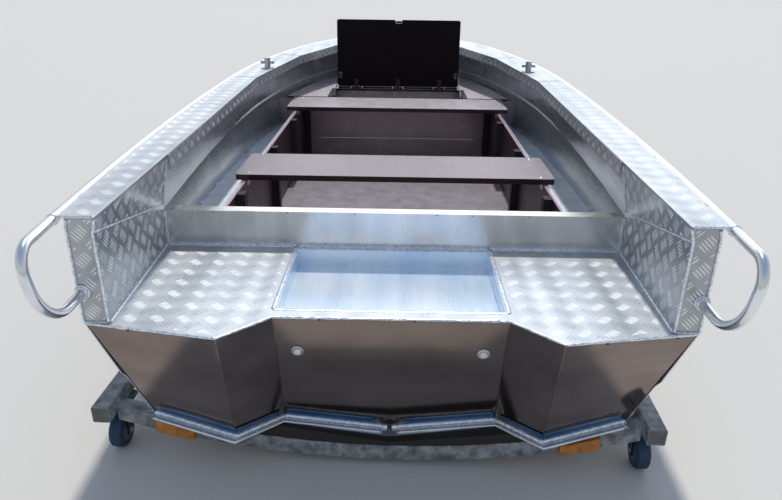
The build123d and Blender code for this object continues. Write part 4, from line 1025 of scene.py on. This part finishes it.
# %% [markdown]
# The lid stands open, leaning a little toward the bow. What is screwed to it rides on the lid's
# body, so that it swings with the lid, and the hinge leaves' screws stay on the deck.

# %% Lid and hinges
lean, hinge_y, hinge_z, hinge_places = radians(2.4), 2800.0, 609.0, (-260, 0, 260)
lid_side = Vector((0, -cos(lean), sin(lean)))


def on_lid(x, rise, out):
    """A point on the open lid: millimetres up from the hinge and out from its aft side."""
    return place(x, hinge_y + rise * sin(lean) - out * cos(lean),
                 hinge_z + rise * cos(lean) + out * sin(lean))


strap_screws = [lathe(on_lid(x + dx, rise, 1.7), lid_side, dome(3.6, 1.5))
                for x in hinge_places for dx in (-7, 7) for rise in (20, 44)]
gathered("strap_screws", strap_screws, hinge_painted_shade, "lid")
bracket_screws = [lathe(on_lid(side * 361, rise, 0.8), lid_side, dome(3.4, 1.5))
                  for side in (1, -1) for rise in (62, 88)]
gathered("bracket_screws", bracket_screws, bright_screw, "lid")
leaf_screws = [lathe(place(x + dx, hinge_y + dy, 602.4), up_axis, dome(3.6, 1.2))
               for x in hinge_places for dx in (-22, 22) for dy in (14, 32)]
gathered("leaf_screws", leaf_screws, hinge_painted_shade)
pull = [on_lid(x, rise, 0.5) for x, rise in (
    (-20, 395.5), (-20, 389), (-14, 384), (14, 384), (20, 389), (20, 395.5))]
gathered("lid_catch", [rod(pull, 2.2, step=3)], bright_screw, "lid")

# %% [markdown]
# Two drains cross the transom's middle panel. Each has a cast rim with a white plug in it.

# %% Drain plugs
drain_x, drain_centre = 244.5, (71.0, 377.0)
drain_face = place(0, *drain_centre) + transom_out * 0.0055
plugs = [lathe(drain_face + Vector((side * drain_x / 1000, 0, 0)), transom_out, dome(9.4, 3.5), 24)
         for side in (1, -1)]
gathered("plug_domes", plugs, white_plastic)
collar = ((16.6, 3.2), (16.0, 4.4), (13.0, 5.0), (11.0, 4.8), (10.4, 3.3))
rings = []
for side in (1, -1):
    points, faces = lathe(place(side * drain_x, *drain_centre), transom_out, collar, 28)
    rings.append((points, faces[:-1]))  # without the disc that would close the ring
gathered("drain_rims", rings, fitting_metal)

# %% [markdown]
# ## The cradle
# The tubes are closed with plates set just inside their cut ends. The caster plates are bolted
# up, and each wheel turns on an axle bolt with a nut on each end.

# %% Plates in the tube ends
tube_x, tube_z, tube_ends = 750, 170, ((27.6, -1), (2719.4, 1))
cap_half, cap_round, cap_thick = 21.5, 3.0, 3.0
cap_edge = []
for sx, sz, quarter in ((1, 1, 0), (-1, 1, 90), (-1, -1, 180), (1, -1, 270)):
    cx, cz = sx * (cap_half - cap_round), sz * (cap_half - cap_round)
    for angle in [radians(quarter + t) for t in (0, 30, 60, 90)]:
        cap_edge.append((cx + cap_round * cos(angle), cz + cap_round * sin(angle)))
count = len(cap_edge)
cap_faces = [(k, (k + 1) % count, count + (k + 1) % count, count + k) for k in range(count)]
cap_faces.append(tuple(range(count, 2 * count)))
caps = [([on_cradle(side * tube_x + x, y + face * depth, tube_z + z)
          for depth in (-cap_thick, 0.0) for x, z in cap_edge], cap_faces)
        for side in (1, -1) for y, face in tube_ends]
gathered("tube_end_plates", caps, cut_steel, smooth=False)

# %% Bolts, hubs and nuts
casters = {"aft_right": (750, 148), "aft_left": (-750, 148), "fore_right": (750, 2560),
           "fore_left": (-750, 2560)}
bolts = [lathe(on_cradle(x + dx, y + dy, 139.7), -up_axis, bolt(5.5, 3.6), 6)
         for x, y in casters.values() for dx in (-33, 33) for dy in (-28, 28)]
gathered("plate_bolts", bolts, hinge_zinc, smooth=False)
spin = Vector((cos(cradle_yaw), sin(cradle_yaw), 0))
trail, axle_z, nut_out = 28, 50, 0.026
hub = ((31.0, 18.6), (30.5, 20.0), (27.0, 20.2), (25.5, 19.3), (15.0, 19.3), (13.5, 21.2),
       (8.0, 21.4))
for name, (x, y) in casters.items():
    centre = on_cradle(x, y - trail, axle_z)
    hubs = [lathe(centre, spin * side, hub, 36) for side in (1, -1)]
    nuts = [lathe(centre + spin * side * nut_out, spin * side, bolt(9.5, 5.0), 6)
            for side in (1, -1)]
    gathered(f"hubs_{name}", hubs, rim_grey, f"wheel_{name}")
    gathered(f"axle_nuts_{name}", nuts, hinge_zinc, f"fork_{name}", smooth=False)
